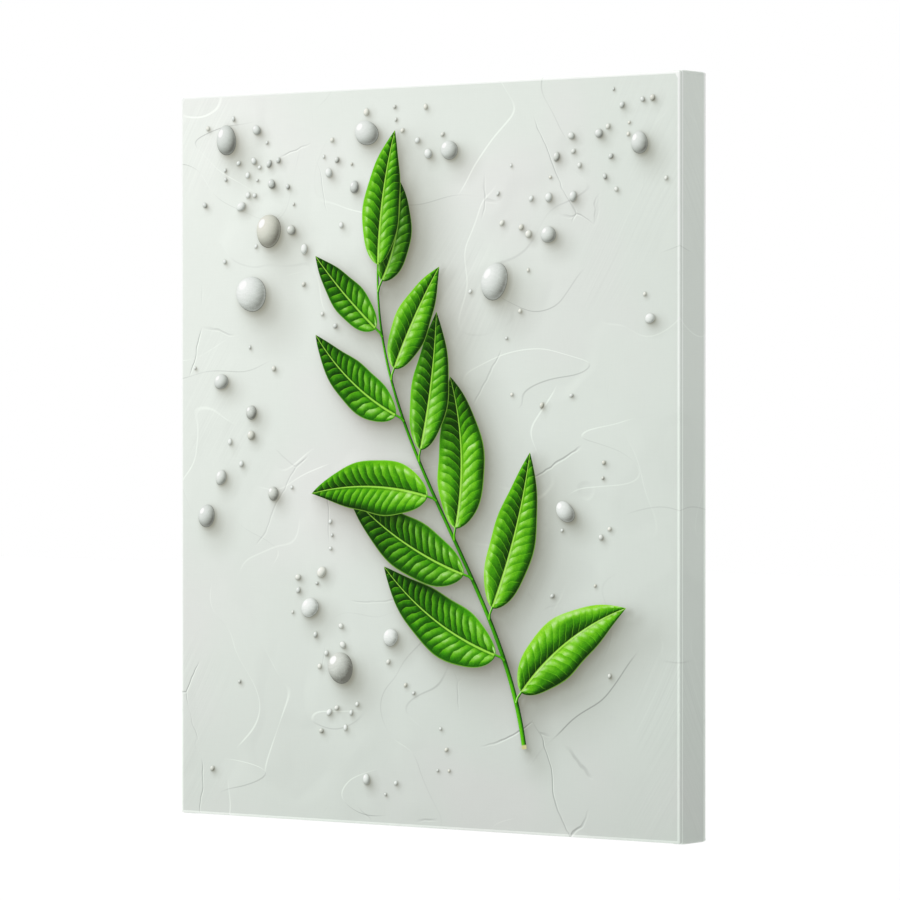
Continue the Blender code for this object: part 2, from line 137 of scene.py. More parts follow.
@dataclass(frozen=True)
class Graph:
    """The nodes of one material."""

    tree: bpy.types.NodeTree

    def node(self, kind: str, **settings: object) -> bpy.types.Node:
        """Adds a shader node.

        Args:
            kind: Blender's name of the node, without its start.
            settings: the node's settings by name.
        Returns:
            The node.
        """
        made = self.tree.nodes.new(f"ShaderNode{kind}")
        for name, value in settings.items():
            setattr(made, name, value)
        return made

    def feed(self, socket: Socket, value: Union[Number, Paint]) -> None:
        """Links a term or socket to a socket, or sets its value.

        Args:
            socket: the input that is fed.
            value: a term, a socket, a number or a colour.
        """
        if isinstance(value, Term):
            value = value.socket
        if isinstance(value, bpy.types.NodeSocket):
            self.tree.links.new(value, socket)
        elif isinstance(value, tuple) and socket.type == "RGBA":
            socket.default_value = (*value, 1.0)
        else:
            socket.default_value = value

    def fed(self, node: bpy.types.Node, **values: Union[Number, Paint]) -> bpy.types.Node:
        """Feeds a node's inputs.

        Args:
            node: the node.
            values: what is fed, by the inputs' names.
        Returns:
            The node.
        """
        for name, value in values.items():
            self.feed(node.inputs[name], value)
        return node

    def filled(self, node: bpy.types.Node, *values: Union[Number, Paint]) -> bpy.types.Node:
        """Feeds the inputs that a node has in use.

        Args:
            node: the node.
            values: what is fed, in the inputs' order.
        Returns:
            The node.
        """
        inputs = [s for s in node.inputs if s.enabled]
        for socket, value in zip(inputs, values):
            self.feed(socket, value)
        return node

    def math(self, operation: str, *values: Number) -> Term:
        """The result of a maths node, by Blender's name of the operation."""
        node = self.filled(self.node("Math", operation=operation), *values)
        return Term(self, node.outputs[0])

    def vector(self, operation: str, *values: Union[Number, Paint]) -> Socket:
        """The resulting vector of a vector maths node, by Blender's name of the operation."""
        node = self.filled(self.node("VectorMath", operation=operation), *values)
        return node.outputs["Vector"]

    def join(self, x: Number, y: Number, z: Number) -> Socket:
        """A vector of three numbers."""
        return self.fed(self.node("CombineXYZ"), X=x, Y=y, Z=z).outputs[0]

    def split(self, place: Socket) -> list[Term]:
        """The three numbers of a vector."""
        return [Term(self, s) for s in self.fed(self.node("SeparateXYZ"), Vector=place).outputs]

    def mix(self, share: Number, low: Paint, high: Paint, how: str = "MIX") -> Socket:
        """Mixes two colours by the blending that is named. A share of 0 gives low, and 1 high."""
        node = self.node("Mix", data_type="RGBA", blend_type=how)
        return next(s for s in self.filled(node, share, low, high).outputs if s.enabled)

    def ramp(self, value: Term, stops: Iterable[tuple[float, Colour]]) -> Socket:
        """A colour that follows a number.

        Args:
            value: the number.
            stops: a few numbers from 0 to 1, each with its colour.
        Returns:
            The colour.
        """
        node = self.node("ValToRGB")
        elements = node.color_ramp.elements
        elements.remove(elements[1])
        for number, (place, colour) in enumerate(stops):
            stop = elements[0] if number == 0 else elements.new(place)
            stop.position = place
            stop.color = (*colour, 1.0)
        self.feed(node.inputs[0], value)
        return node.outputs["Color"]

    def texture(self, place: Socket, scale: float, detail: float, rough: float) -> bpy.types.Node:
        """A noise texture node."""
        node = self.node("TexNoise")
        return self.fed(node, Vector=place, Scale=scale, Detail=detail, Roughness=rough)

    def noise(self, place: Socket, scale: float, detail: float = 2.0, rough: float = 0.5) -> Term:
        """Smooth noise from 0 to 1, about 0.5. The scale is in waves for each metre."""
        return Term(self, self.texture(place, scale, detail, rough).outputs[0])

    def grain(self, place: Socket, by: Triple, detail: float = 2.0, rough: float = 0.5) -> Term:
        """Smooth noise with its own number of waves for each metre of X, Y and Z."""
        return self.noise(self.stretch(place, by), 1.0, detail, rough)

    def drift(self, place: Socket, scale: float, amount: float) -> Socket:
        """A place moved about by smooth noise.

        Args:
            place: the place.
            scale: waves for each metre.
            amount: the most that it moves, in metres.
        Returns:
            The moved place.
        """
        noise = self.texture(place, scale, 1.0, 0.5).outputs["Color"]
        centred = self.vector("SUBTRACT", noise, (0.5, 0.5, 0.5))
        return self.vector("ADD", place, self.vector("SCALE", centred, 2 * amount))

    def cells(self, place: Socket, by: Triple, feature: str) -> bpy.types.Node:
        """A texture of uneven cells, with its own number of them for each metre of X, Y and Z."""
        node = self.node("TexVoronoi", feature=feature)
        return self.fed(node, Vector=self.stretch(place, by), Scale=1.0)

    def attribute(self, name: str) -> Socket:
        """The vector that a mesh attribute holds."""
        return self.node("Attribute", attribute_name=name).outputs["Vector"]

    def numbers(self, name: str) -> list[Term]:
        """The three numbers that a mesh attribute holds."""
        return self.split(self.attribute(name))

    def amount(self, name: str) -> Term:
        """The number that a mesh attribute holds."""
        return Term(self, self.node("Attribute", attribute_name=name).outputs["Fac"])

    def place(self) -> Socket:
        """The place in the object's own frame, which is the picture's frame, in metres."""
        return self.node("TexCoord").outputs["Object"]

    def stretch(self, place: Socket, by: Triple) -> Socket:
        """A place with its three numbers multiplied."""
        return self.vector("MULTIPLY", place, by)


@dataclass(frozen=True)
class Coat:
    """What varies over a finish: its colour, and where they vary its relief and its roughness."""

    colour: Paint
    relief: Optional[Term] = None
    roughness: Optional[Term] = None


@dataclass(frozen=True)
class Finish:
    """A finish: its shader's fixed values. A subclass paints what varies."""

    name: str
    roughness: float = 0.6
    metallic: float = 0.0
    gloss: float = 0.5
    depth: float = 0.07 * MM  # what a relief of 1 stands for
    strength: float = 0.6  # how much of the relief shows

    def material(self) -> bpy.types.Material:
        """Makes the material.

        Returns:
            A new material with its nodes.
        """
        made = bpy.data.materials.new(self.name)
        made.use_nodes = True
        graph = Graph(made.node_tree)
        coat = self.paint(graph)
        inputs = made.node_tree.nodes["Principled BSDF"].inputs
        graph.feed(inputs["Base Color"], coat.colour)
        graph.feed(inputs["Roughness"], coat.roughness or self.roughness)
        graph.feed(inputs["Metallic"], self.metallic)
        graph.feed(inputs["Specular IOR Level"], self.gloss)
        if coat.relief:
            bump = graph.node("Bump")
            graph.fed(bump, Strength=self.strength, Distance=self.depth, Height=coat.relief)
            graph.feed(inputs["Normal"], bump.outputs["Normal"])
        return made

    def paint(self, graph: Graph) -> Coat:
        """Works out what varies over the surface."""
        raise NotImplementedError


# What the cloth is woven and printed with


PRINTED_THREAD = 0.62 * MM  # from thread to thread on the printed side
RAW_THREAD = 0.80 * MM  # and on the back, which shows coarser
SLUBS = ((60.0, 60.0, 900.0), (900.0, 60.0, 60.0))  # waves for each metre, along the cloth's two ways


def weave(graph: Graph, place: Socket, pitch: float) -> Term:
    """The height of plain-woven cloth: each thread goes over one and under the next.

    Args:
        graph: the material's nodes.
        place: a place on the cloth, whose X and Z run along the threads.
        pitch: the distance from thread to thread.
    Returns:
        A height from 0 to 1.
    """
    uneven = graph.drift(place, 900.0, 0.09 * MM)
    x, _, z = graph.split(uneven)
    across = (x * (math.pi / pitch)).of("SINE")
    down = (z * (math.pi / pitch)).of("SINE")
    both = across * down
    return (abs(across) + both).of("MAXIMUM", abs(down) - both) * 0.5


def slubs(graph: Graph, place: Socket) -> Term:
    """The height of the threads' thicker stretches, along both ways of the cloth."""
    along, down = (graph.grain(place, way) for way in SLUBS)
    return along * 0.5 + down * 0.5


@dataclass(frozen=True)
class Printed(Finish):
    """Ink on primed cloth. A subclass says what the ink's colour is."""

    gloss: float = 0.05

    def ink(self, graph: Graph, place: Socket) -> Socket:
        """The colour of the ink at a place of the print."""
        raise NotImplementedError

    def paint(self, graph: Graph) -> Coat:
        """Lays the ink on the weave, a little thinner on the threads' crowns.

        Args:
            graph: the material's nodes.
        Returns:
            The ink's colour and the weave's relief.
        """
        place = graph.attribute("print_place")
        height = weave(graph, place, PRINTED_THREAD)
        uneven = slubs(graph, place)
        tone = 0.985 + (height - 0.5) * 0.03 + (uneven - 0.5) * 0.05
        colour = graph.vector("SCALE", self.ink(graph, place), tone)
        return Coat(colour, height * 0.7 + uneven * 0.5)


@dataclass(frozen=True)
class Patches:
    """Smooth patches in which a thing shows. The shift keeps one set of them apart from another."""

    shift: Triple
    scale: float
    low: float
    high: float
    detail: float = 1.5

    def on(self, graph: Graph, place: Socket) -> Term:
        """How far a place lies in a patch, from 0 to 1."""
        moved = graph.vector("ADD", place, self.shift)
        return graph.noise(moved, self.scale, self.detail).rise(self.low, self.high)


@dataclass(frozen=True)
class PlasterInk(Printed):
    """The printed ground: pale trowelled plaster, with the motifs' soft shadows."""

    half_width: float = 0.25
    half_height: float = 0.3
    back_fold: float = 0.04  # where the cloth turns onto the back, from the front's edge
    bleed: float = 0.046  # where the ink ends

    brightest: float = 0.889
    fade_right: float = 0.137
    fade_down: float = 0.207
    warm: Colour = (0.966, 1.014, 0.952)
    cool: Colour = (0.940, 1.023, 0.944)
    rosy: Colour = (1.000, 0.998, 0.975)
    rosy_parts: Patches = Patches((5.0, 0.0, 5.0), 5.0, 0.50, 0.72, 2.0)
    shadow: Colour = (0.215, 0.185, 0.120)

    light_step: float = 0.70 * MM  # how far towards the light the relief is compared
    layer_light: float = 0.145
    layered: tuple[Patches, Patches, Patches] = (
        Patches((0.0, 0.0, 0.0), 9.0, 0.47, 0.56),
        Patches((3.1, 0.0, 1.7), 7.5, 0.50, 0.58),
        Patches((1.3, 0.0, 4.4), 8.0, 0.50, 0.58),
    )
    crack_light: float = 0.100
    crack_dark: float = 0.055
    cracked: Patches = Patches((7.0, 0.0, 2.0), 11.0, 0.575, 0.64)
    drag_light: float = 0.18
    dragged: Patches = Patches((0.0, 0.0, 9.0), 6.5, 0.55, 0.68, 2.0)
    deeper: Patches = Patches((2.0, 0.0, 6.0), 6.0, 0.42, 0.62, 1.0)
    darkest: float = -0.27  # what the relief may add to the tone at the least
    lightest: float = 0.13  # and at the most

    # the lines along the folds are made lighter: partly worn ink, partly a painted highlight on the edges
    wear_and_highlight_gain: float = 1.30
    palest: Colour = (0.920, 0.943, 0.915)
    front_wear_and_highlight: Band = (-0.9 * MM, -0.3 * MM, 1.5 * MM, 1.9 * MM)
    side_wear_and_highlight: Band = (3.8 * MM, 4.2 * MM, 5.2 * MM, 5.6 * MM)
    primer: Colour = (0.86, 0.85, 0.805)

    def light(self, graph: Graph, place: Socket) -> tuple[Term, Term]:
        """The printed light, brightest at the top left.

        Args:
            graph: the material's nodes.
            place: the place on the print.
        Returns:
            The brightness, and how far a place lies towards the lower right.
        """
        x, _, z = graph.split(place)
        right = (x / (2 * self.half_width) + 0.5).of("MAXIMUM", 0.0)
        down = (0.5 - z / (2 * self.half_height)).of("MAXIMUM", 0.0)
        fade = (down**1.4) * (self.fade_down - right * 0.072)
        return self.brightest - right * self.fade_right - fade, (right + down) * 0.5

    def layers(self, graph: Graph, place: Socket) -> Term:
        """Thin layers of plaster, which end in crisp, broken edges.

        Args:
            graph: the material's nodes.
            place: the place on the print.
        Returns:
            The plaster's height.
        """
        moved = graph.drift(place, 8.0, 24 * MM)
        wide = graph.noise(moved, 5.6, 1.6, 0.42)
        long = graph.noise(graph.stretch(moved, (0.5, 1.0, 1.35)), 11.0, 1.0, 0.4)
        first, second, third = (patches.on(graph, place) for patches in self.layered)
        lower = wide.rise(0.470, 0.4745) * first + long.rise(0.555, 0.559) * second * 0.8
        return lower + wide.rise(0.560, 0.564) * third * 0.9

    def cracks(self, graph: Graph, place: Socket) -> Term:
        """Hair cracks, which branch. Most of their net is hidden.

        Args:
            graph: the material's nodes.
            place: the place on the print.
        Returns:
            1 at the bottom of a crack, and 0 off it.
        """
        moved = graph.drift(graph.drift(place, 9.0, 20 * MM), 70.0, 2.2 * MM)
        net = graph.cells(moved, (9.0, 9.0, 6.0), "DISTANCE_TO_EDGE")
        line = Term(graph, net.outputs["Distance"]).fall(0.0015, 0.0075)
        return line * self.cracked.on(graph, place)

    def drag_marks(self, graph: Graph, place: Socket) -> Term:
        """Bundles of fine marks that the trowel left.

        Args:
            graph: the material's nodes.
            place: the place on the print.
        Returns:
            Their height, about 0.
        """
        x, _, z = graph.split(graph.drift(place, 3.0, 60 * MM))
        along = x * 0.52 + z * 0.85
        across = x * 0.85 - z * 0.52
        fine = graph.noise(graph.join(along * 3.0, across * 120.0, 0.0), 1.0, 3.0, 0.62)
        return (fine - 0.5) * self.dragged.on(graph, place)

    def ink(self, graph: Graph, place: Socket) -> Socket:
        """The plaster's colour, with its relief, the shadows on it, and the folds with their wear, painted
        highlights and painted shade.

        Args:
            graph: the material's nodes.
            place: the place on the print.
        Returns:
            The colour.
        """
        light, corner = self.light(graph, place)
        lit = graph.vector("ADD", place, (-self.light_step, 0.0, self.light_step))
        layers, crack = self.layers(graph, place), self.cracks(graph, place)
        relief = (layers - self.layers(graph, lit)) * self.layer_light
        relief = relief - (crack - self.cracks(graph, lit)) * self.crack_light - crack * self.crack_dark
        relief = relief * (self.deeper.on(graph, place) * 1.25 + 0.75)
        dragged = self.drag_marks(graph, place) - self.drag_marks(graph, lit)
        relief = (relief + dragged * self.drag_light).within(self.darkest, self.lightest)
        cloudy = (graph.noise(place, 9.0, 3.0, 0.55) - 0.5) * 0.045 + layers * 0.007
        tint = graph.mix(corner, self.warm, self.cool)
        tint = graph.mix(self.rosy_parts.on(graph, place) * 0.6, tint, self.rosy)
        colour = graph.vector("SCALE", tint, light + relief + cloudy)
        colour = graph.mix(graph.amount("shade"), colour, self.shadow, "MULTIPLY")
        return self.worn(graph, place, colour)

    def worn(self, graph: Graph, place: Socket, colour: Socket) -> Socket:
        """Lightens the ink along the folds, as wear and as a painted highlight, paints shade in the
        pleats' valleys, and ends the ink on the back, where the primed cloth is bare.

        Args:
            graph: the material's nodes.
            place: the place on the print.
            colour: the ink's colour.
        Returns:
            The colour with wear, painted highlights and painted shade.
        """
        wrapped = graph.amount("wrapped")
        patchy = graph.noise(place, 240.0, 3.0, 0.7) * 0.5 + graph.noise(place, 30.0) * 0.9
        # bands of worn ink that are also painted highlights: the front's edge, the side past the fold and
        # the back fold
        front = wrapped.band(*self.front_wear_and_highlight)
        press = wrapped.band(*self.side_wear_and_highlight) * 0.85
        back = abs(wrapped - self.back_fold).fall(1.3 * MM, 1.9 * MM) * 0.9
        wear_and_highlight = (front + press + back) * (patchy.rise(0.25, 0.60) * 0.6 + 0.4)
        crease = graph.amount("crease")
        # painted shade in a pleat's valley, and a lighter crown, partly worn and partly a painted
        # highlight
        folded = crease.rise(0.35, 0.9) * 0.10 - crease.fall(-0.85, -0.10) * 0.42
        # the ink made lighter there, both as wear and as a painted highlight
        worn = graph.vector("MINIMUM", graph.vector("SCALE", colour, self.wear_and_highlight_gain), self.palest)
        colour = graph.mix(wear_and_highlight, colour, worn)
        colour = graph.vector("SCALE", colour, folded + 1.0)
        edge = wrapped + (graph.noise(place, 55.0) - 0.5) * (1.2 * MM)
        bare = edge.rise(self.bleed, self.bleed + 0.7 * MM)
        # the bare primer's dirt, with the same painted shade in the folds
        grime_and_fold_shade = graph.noise(place, 26.0, 4.0, 0.6) * 0.10 + 0.95 + folded
        return graph.mix(bare, colour, graph.vector("SCALE", self.primer, grime_and_fold_shade))


GREENS: tuple[tuple[float, Colour], ...] = (
    (0.00, (0.005, 0.034, 0.001)),
    (0.28, (0.015, 0.122, 0.002)),
    (0.52, (0.040, 0.300, 0.003)),
    (0.76, (0.115, 0.530, 0.006)),
    (1.00, (0.330, 0.800, 0.050)),
)


@dataclass(frozen=True)
class LeafInk(Printed):
    """A printed leaf, with its midrib, side veins and the swellings between them."""

    upward: float = 0.62  # the printed light's part straight at the print
    net_cells: Triple = (420.0, 420.0, 420.0)  # the smallest veins' net, in cells for each metre
    spacing: float = 7.6 * MM  # from side vein to side vein
    slant: float = 1.15  # how much the side veins lean towards the tip
    curl: float = 0.55  # and how much they turn back at the margin
    swelling: float = 0.27
    valley: float = 0.60  # how the two halves slope down to the midrib
    margin: float = 0.80  # and down at the margins
    arch: float = 0.70  # how the leaf bends down from its base to its tip
    rib: float = 0.75 * MM
    vein: Colour = (0.190, 0.610, 0.018)
    rib_light: Colour = (0.390, 0.780, 0.090)
    glow: Colour = (0.400, 0.860, 0.035)
    shine: Colour = (0.80, 0.96, 0.58)
    young: Colour = (1.60, 1.12, 0.8)

    def ink(self, graph: Graph, place: Socket) -> Socket:
        """The leaf's colour, by its own light and form.

        Args:
            graph: the material's nodes.
            place: the place on the print.
        Returns:
            The colour.
        """
        along, side, half = graph.numbers("motif_place")
        light_on, light_over, cast = graph.numbers("motif_light")
        tint, phase, length = graph.numbers("motif_tone")
        out = abs(side).of("MINIMUM", 1.0)
        hand = side.of("SIGN")
        reach = out * half
        # the side veins, and the slopes of the swellings between them
        wobble = (graph.noise(place, 80.0) - 0.5) * 0.75
        veins = (along * length - reach * self.slant + reach * out * self.curl) / self.spacing
        saw = (veins + phase + hand * 0.22 + wobble).of("FRACT")
        from_vein = saw.of("MINIMUM", 1.0 - saw) * self.spacing
        slope_on = (saw * math.pi).of("COSINE") * out.band(0.0, 0.20, 0.66, 1.0) * self.swelling
        slope_on = slope_on + (along - 0.40) * self.arch
        slope_over = hand * (out.fall(0.0, 0.60) * self.valley - out.rise(0.55, 1.0) * self.margin)
        # how they face the printed light, and how they mirror it to the front
        ripple = (graph.noise(place, 30.0) - 0.5) * 0.9
        towards_tip = ripple * 0.7 - slope_on
        towards_left = ripple - slope_over
        size = (towards_tip * towards_tip + towards_left * towards_left + 1.0).of("SQRT")
        sideways = towards_tip * light_on + towards_left * light_over
        facing = (sideways + self.upward) / size
        half_size = math.hypot(math.sqrt(1 - self.upward**2), 1 + self.upward)
        mirror = (sideways + (1 + self.upward)) / (size * half_size)
        # the colour, with the lines that are drawn over it
        fine = (graph.noise(place, 480.0, 4.0, 0.6) - 0.5) * 0.12
        net = self.net(graph, place) * out.fall(0.9, 1.0)
        shade = facing * 0.98 - 0.13 + fine - net * 0.07 + tint * 0.13 - cast * 0.55
        colour = graph.ramp(shade, GREENS)
        colour = graph.mix(tint.rise(-0.1, 0.6) * 0.45, colour, self.young, "MULTIPLY")
        lit = 1.0 - cast * 0.8
        vein_line = from_vein.fall(0.08 * MM, 0.50 * MM) * out.fall(0.60, 0.98) * lit
        colour = graph.mix(vein_line * 0.50, colour, self.vein)
        broad = self.rib * 1.35 - along * (self.rib * 1.1)
        rib_line = reach.fall(broad * 0.55, broad + 0.25 * MM) * lit
        colour = graph.mix(rib_line * 0.85, colour, self.rib_light)
        beside = broad + 0.3 * MM
        groove = reach.band(broad, beside, beside, broad + 2.2 * MM)
        colour = graph.mix(groove * 0.50, colour, GREENS[0][1])
        colour = graph.mix(out.rise(0.950, 0.985) * lit * 0.40, colour, self.rib_light)
        # the light's glow and its broken glints
        open_to_light = 1.0 - cast
        colour = graph.mix((mirror**16.0) * 0.34 * open_to_light, colour, self.glow)
        broken = graph.noise(place, 130.0, 3.0, 0.65).rise(0.34, 0.70)
        glint = (mirror**70.0) * (broken * 0.8 + 0.2) * open_to_light
        return graph.mix(glint * 0.60, colour, self.shine)

    def net(self, graph: Graph, place: Socket) -> Term:
        """The fine net of the smallest veins."""
        cells = graph.cells(graph.drift(place, 200.0, 1.2 * MM), self.net_cells, "DISTANCE_TO_EDGE")
        return Term(graph, cells.outputs["Distance"]).fall(0.03, 0.16)


@dataclass(frozen=True)
class StemInk(Printed):
    """A printed round stem."""

    upward: float = 0.62
    shine: Colour = (0.80, 0.93, 0.62)
    cut: Colour = (0.62, 0.60, 0.28)

    def ink(self, graph: Graph, place: Socket) -> Socket:
        """The stem's colour, round across its width, with a pale cut end.

        Args:
            graph: the material's nodes.
            place: the place on the print.
        Returns:
            The colour.
        """
        along, side, _ = graph.numbers("motif_place")
        _, light_over, cast = graph.numbers("motif_light")
        has_cut, _, _ = graph.numbers("motif_tone")
        across = side.within(-1.0, 1.0)
        up = (1.0 - across * across * 0.96).of("SQRT")
        facing = across * light_over + up * self.upward
        fibres = (graph.noise(place, 300.0) - 0.5) * 0.16
        colour = graph.ramp(facing * 0.95 + 0.04 + fibres - cast * 0.5, GREENS)
        colour = graph.mix(facing.rise(0.86, 1.0) * 0.5 * (1.0 - cast), colour, self.shine)
        return graph.mix(along.fall(0.006, 0.009) * has_cut, colour, self.cut)


@dataclass(frozen=True)
class PebbleInk(Printed):
    """A printed pebble: pale, smooth and slightly wet."""

    upward: float = 0.64
    stones: tuple[tuple[float, Colour], ...] = (
        (0.00, (0.150, 0.155, 0.135)),
        (0.30, (0.370, 0.395, 0.360)),
        (0.62, (0.640, 0.680, 0.640)),
        (1.00, (0.900, 0.930, 0.900)),
    )
    sandy: Colour = (1.00, 0.93, 0.80)
    glint: Colour = (1.0, 1.0, 0.99)

    def ink(self, graph: Graph, place: Socket) -> Socket:
        """The pebble's colour: lit from the upper left, with light thrown back up from the plaster.

        Args:
            graph: the material's nodes.
            place: the place on the print.
        Returns:
            The colour.
        """
        right, up, tint = graph.numbers("motif_place")
        light_x, light_z, cast = graph.numbers("motif_light")
        _, hue, size = graph.numbers("motif_tone")
        out = (right * right + up * up).of("MINIMUM", 1.0)
        front = (1.0 - out * 0.97).of("SQRT")
        facing = right * light_x + up * light_z + front * self.upward
        away = 0.0 - facing
        bounce = away.rise(-0.30, 0.55) * out.band(0.45, 0.95, 0.94, 1.0) * 0.42
        rim = out.rise(0.86, 1.0) * away.rise(-0.75, 0.25) * 0.30
        speckle = (graph.noise(place, 900.0, 3.0, 0.7) - 0.5) * 0.30
        bands = graph.grain(graph.drift(place, 60.0, 6 * MM), (150.0, 1.0, 420.0), 3.0, 0.6) - 0.5
        mottled = (speckle + bands * 0.34) * (0.35 + abs(tint) * 0.65)
        shade = facing * 0.78 + 0.10 + bounce - rim + mottled
        shade = shade + tint * 0.17 - cast * 0.3 + (1.0 - size) * 0.16
        colour = graph.ramp(shade, self.stones)
        colour = graph.mix(hue.rise(0.5, 1.0) * 0.55, colour, self.sandy, "MULTIPLY")
        glint = facing.rise(0.955, 0.992) * (0.55 + size * 0.45)
        return graph.mix(glint, colour, self.glint)


@dataclass(frozen=True)
class RawCloth(Finish):
    """The unprinted back of the cloth: cotton and polyester threads."""

    roughness: float = 0.9
    gloss: float = 0.2
    depth: float = 0.16 * MM
    strength: float = 0.9
    thread: Colour = (0.72, 0.70, 0.64)
    # the colour between the threads, darker as painted shade
    gap: Colour = (0.47, 0.45, 0.39)
    yellowed: Colour = (0.66, 0.63, 0.55)
    speck: Colour = (0.25, 0.19, 0.12)

    def paint(self, graph: Graph) -> Coat:
        """Weaves the threads, with painted shade in the gaps between them, slubs and a few dark specks.

        Args:
            graph: the material's nodes.
        Returns:
            The cloth's colour and relief.
        """
        place = graph.place()
        height = weave(graph, place, RAW_THREAD)
        uneven = slubs(graph, place)
        # painted shade in the gaps between the threads
        colour = graph.mix(height.rise(0.05, 0.6), self.gap, self.thread)
        colour = graph.vector("SCALE", colour, 0.86 + uneven * 0.28)
        colour = graph.mix(graph.noise(place, 11.0, 3.0).rise(0.45, 0.8) * 0.25, colour, self.yellowed)
        colour = graph.mix(graph.noise(place, 620.0, 1.0).rise(0.80, 0.84) * 0.6, colour, self.speck)
        return Coat(colour, height * 0.8 + uneven * 0.7)


# The printed shapes


class PrintSlot(IntEnum):
    """The finishes of the cloth's faces, in the order of its material slots."""

    GROUND = 0
    LEAF = 1
    STEM = 2
    PEBBLE = 3
    RAW = 4


PRINT_LIGHT = np.array((-0.60, 0.50))  # the printed light's sideways part, to the right and up
SHADOW_FALL = -PRINT_LIGHT / np.linalg.norm(PRINT_LIGHT)
SMALL_PEBBLE = 3 * MM  # half the length below which a pebble has a plainer outline


def eased(share: Union[float, Array]) -> Union[float, Array]:
    """A share from 0 to 1, made to start and to end smoothly."""
    return share * share * (3 - 2 * share)


def aimed(heading: float) -> Array:
    """A step of length 1 on the print, at an angle from the right up."""
    return np.array((math.cos(heading), math.sin(heading)))


def turned_light(headings: Array) -> Array:
    """The printed light's sideways part along each heading and to its left."""
    cos, sin = np.cos(headings), np.sin(headings)
    return np.stack([PRINT_LIGHT @ (cos, sin), PRINT_LIGHT @ (-sin, cos)], 1)


class Motif:
    """A printed shape."""

    slot = PrintSlot.GROUND
    height = 0.0  # how high it seems to stand over the plaster, which sets its shadow
    tone: Triple = (0.0, 0.0, 0.0)

    def outline(self) -> Array:
        """Its corners in order, an n by 2 array of places on the print."""
        raise NotImplementedError

    def inner_points(self) -> Array:
        """Places inside it that its faces need."""
        return np.zeros((0, 2))

    def depth(self, points: Array) -> Array:
        """How deep points lie inside its outline.

        Args:
            points: places on the print.
        Returns:
            One depth for each in metres, below 0 outside.
        """
        start = self.outline()
        step = np.roll(start, -1, axis=0) - start
        apart = points[:, None, :] - start[None, :, :]
        share = np.clip((apart * step).sum(2) / np.maximum((step * step).sum(1), 1e-16), 0, 1)
        nearest = np.linalg.norm(apart - share[:, :, None] * step, axis=2).min(1)
        above = start[:, 1] > points[:, None, 1]
        above_next = np.roll(start[:, 1], -1) > points[:, None, 1]
        rise = np.where(np.abs(step[:, 1]) < 1e-12, 1e-12, step[:, 1])
        crossing = start[:, 0] + step[:, 0] * (points[:, None, 1] - start[:, 1]) / rise
        inside = ((above != above_next) & (points[:, None, 0] < crossing)).sum(1) % 2 == 1
        return np.where(inside, nearest, -nearest)

    def reached(self, points: Array, gap: float) -> Array:
        """Finds the points that lie in the shape's box.

        Args:
            points: places on the print.
            gap: how far the box is grown first.
        Returns:
            The numbers of the points in it.
        """
        outline = self.outline()
        inside = (points > outline.min(0) - gap) & (points < outline.max(0) + gap)
        return np.flatnonzero(inside.all(1))

    def places(self, points: Array) -> Array:
        """Where points lie on it, as three numbers that its finish reads."""
        raise NotImplementedError

    def lights(self, points: Array) -> Array:
        """The printed light's sideways part, as the shape itself has it: along and to the left."""
        return np.tile(PRINT_LIGHT, (len(points), 1))


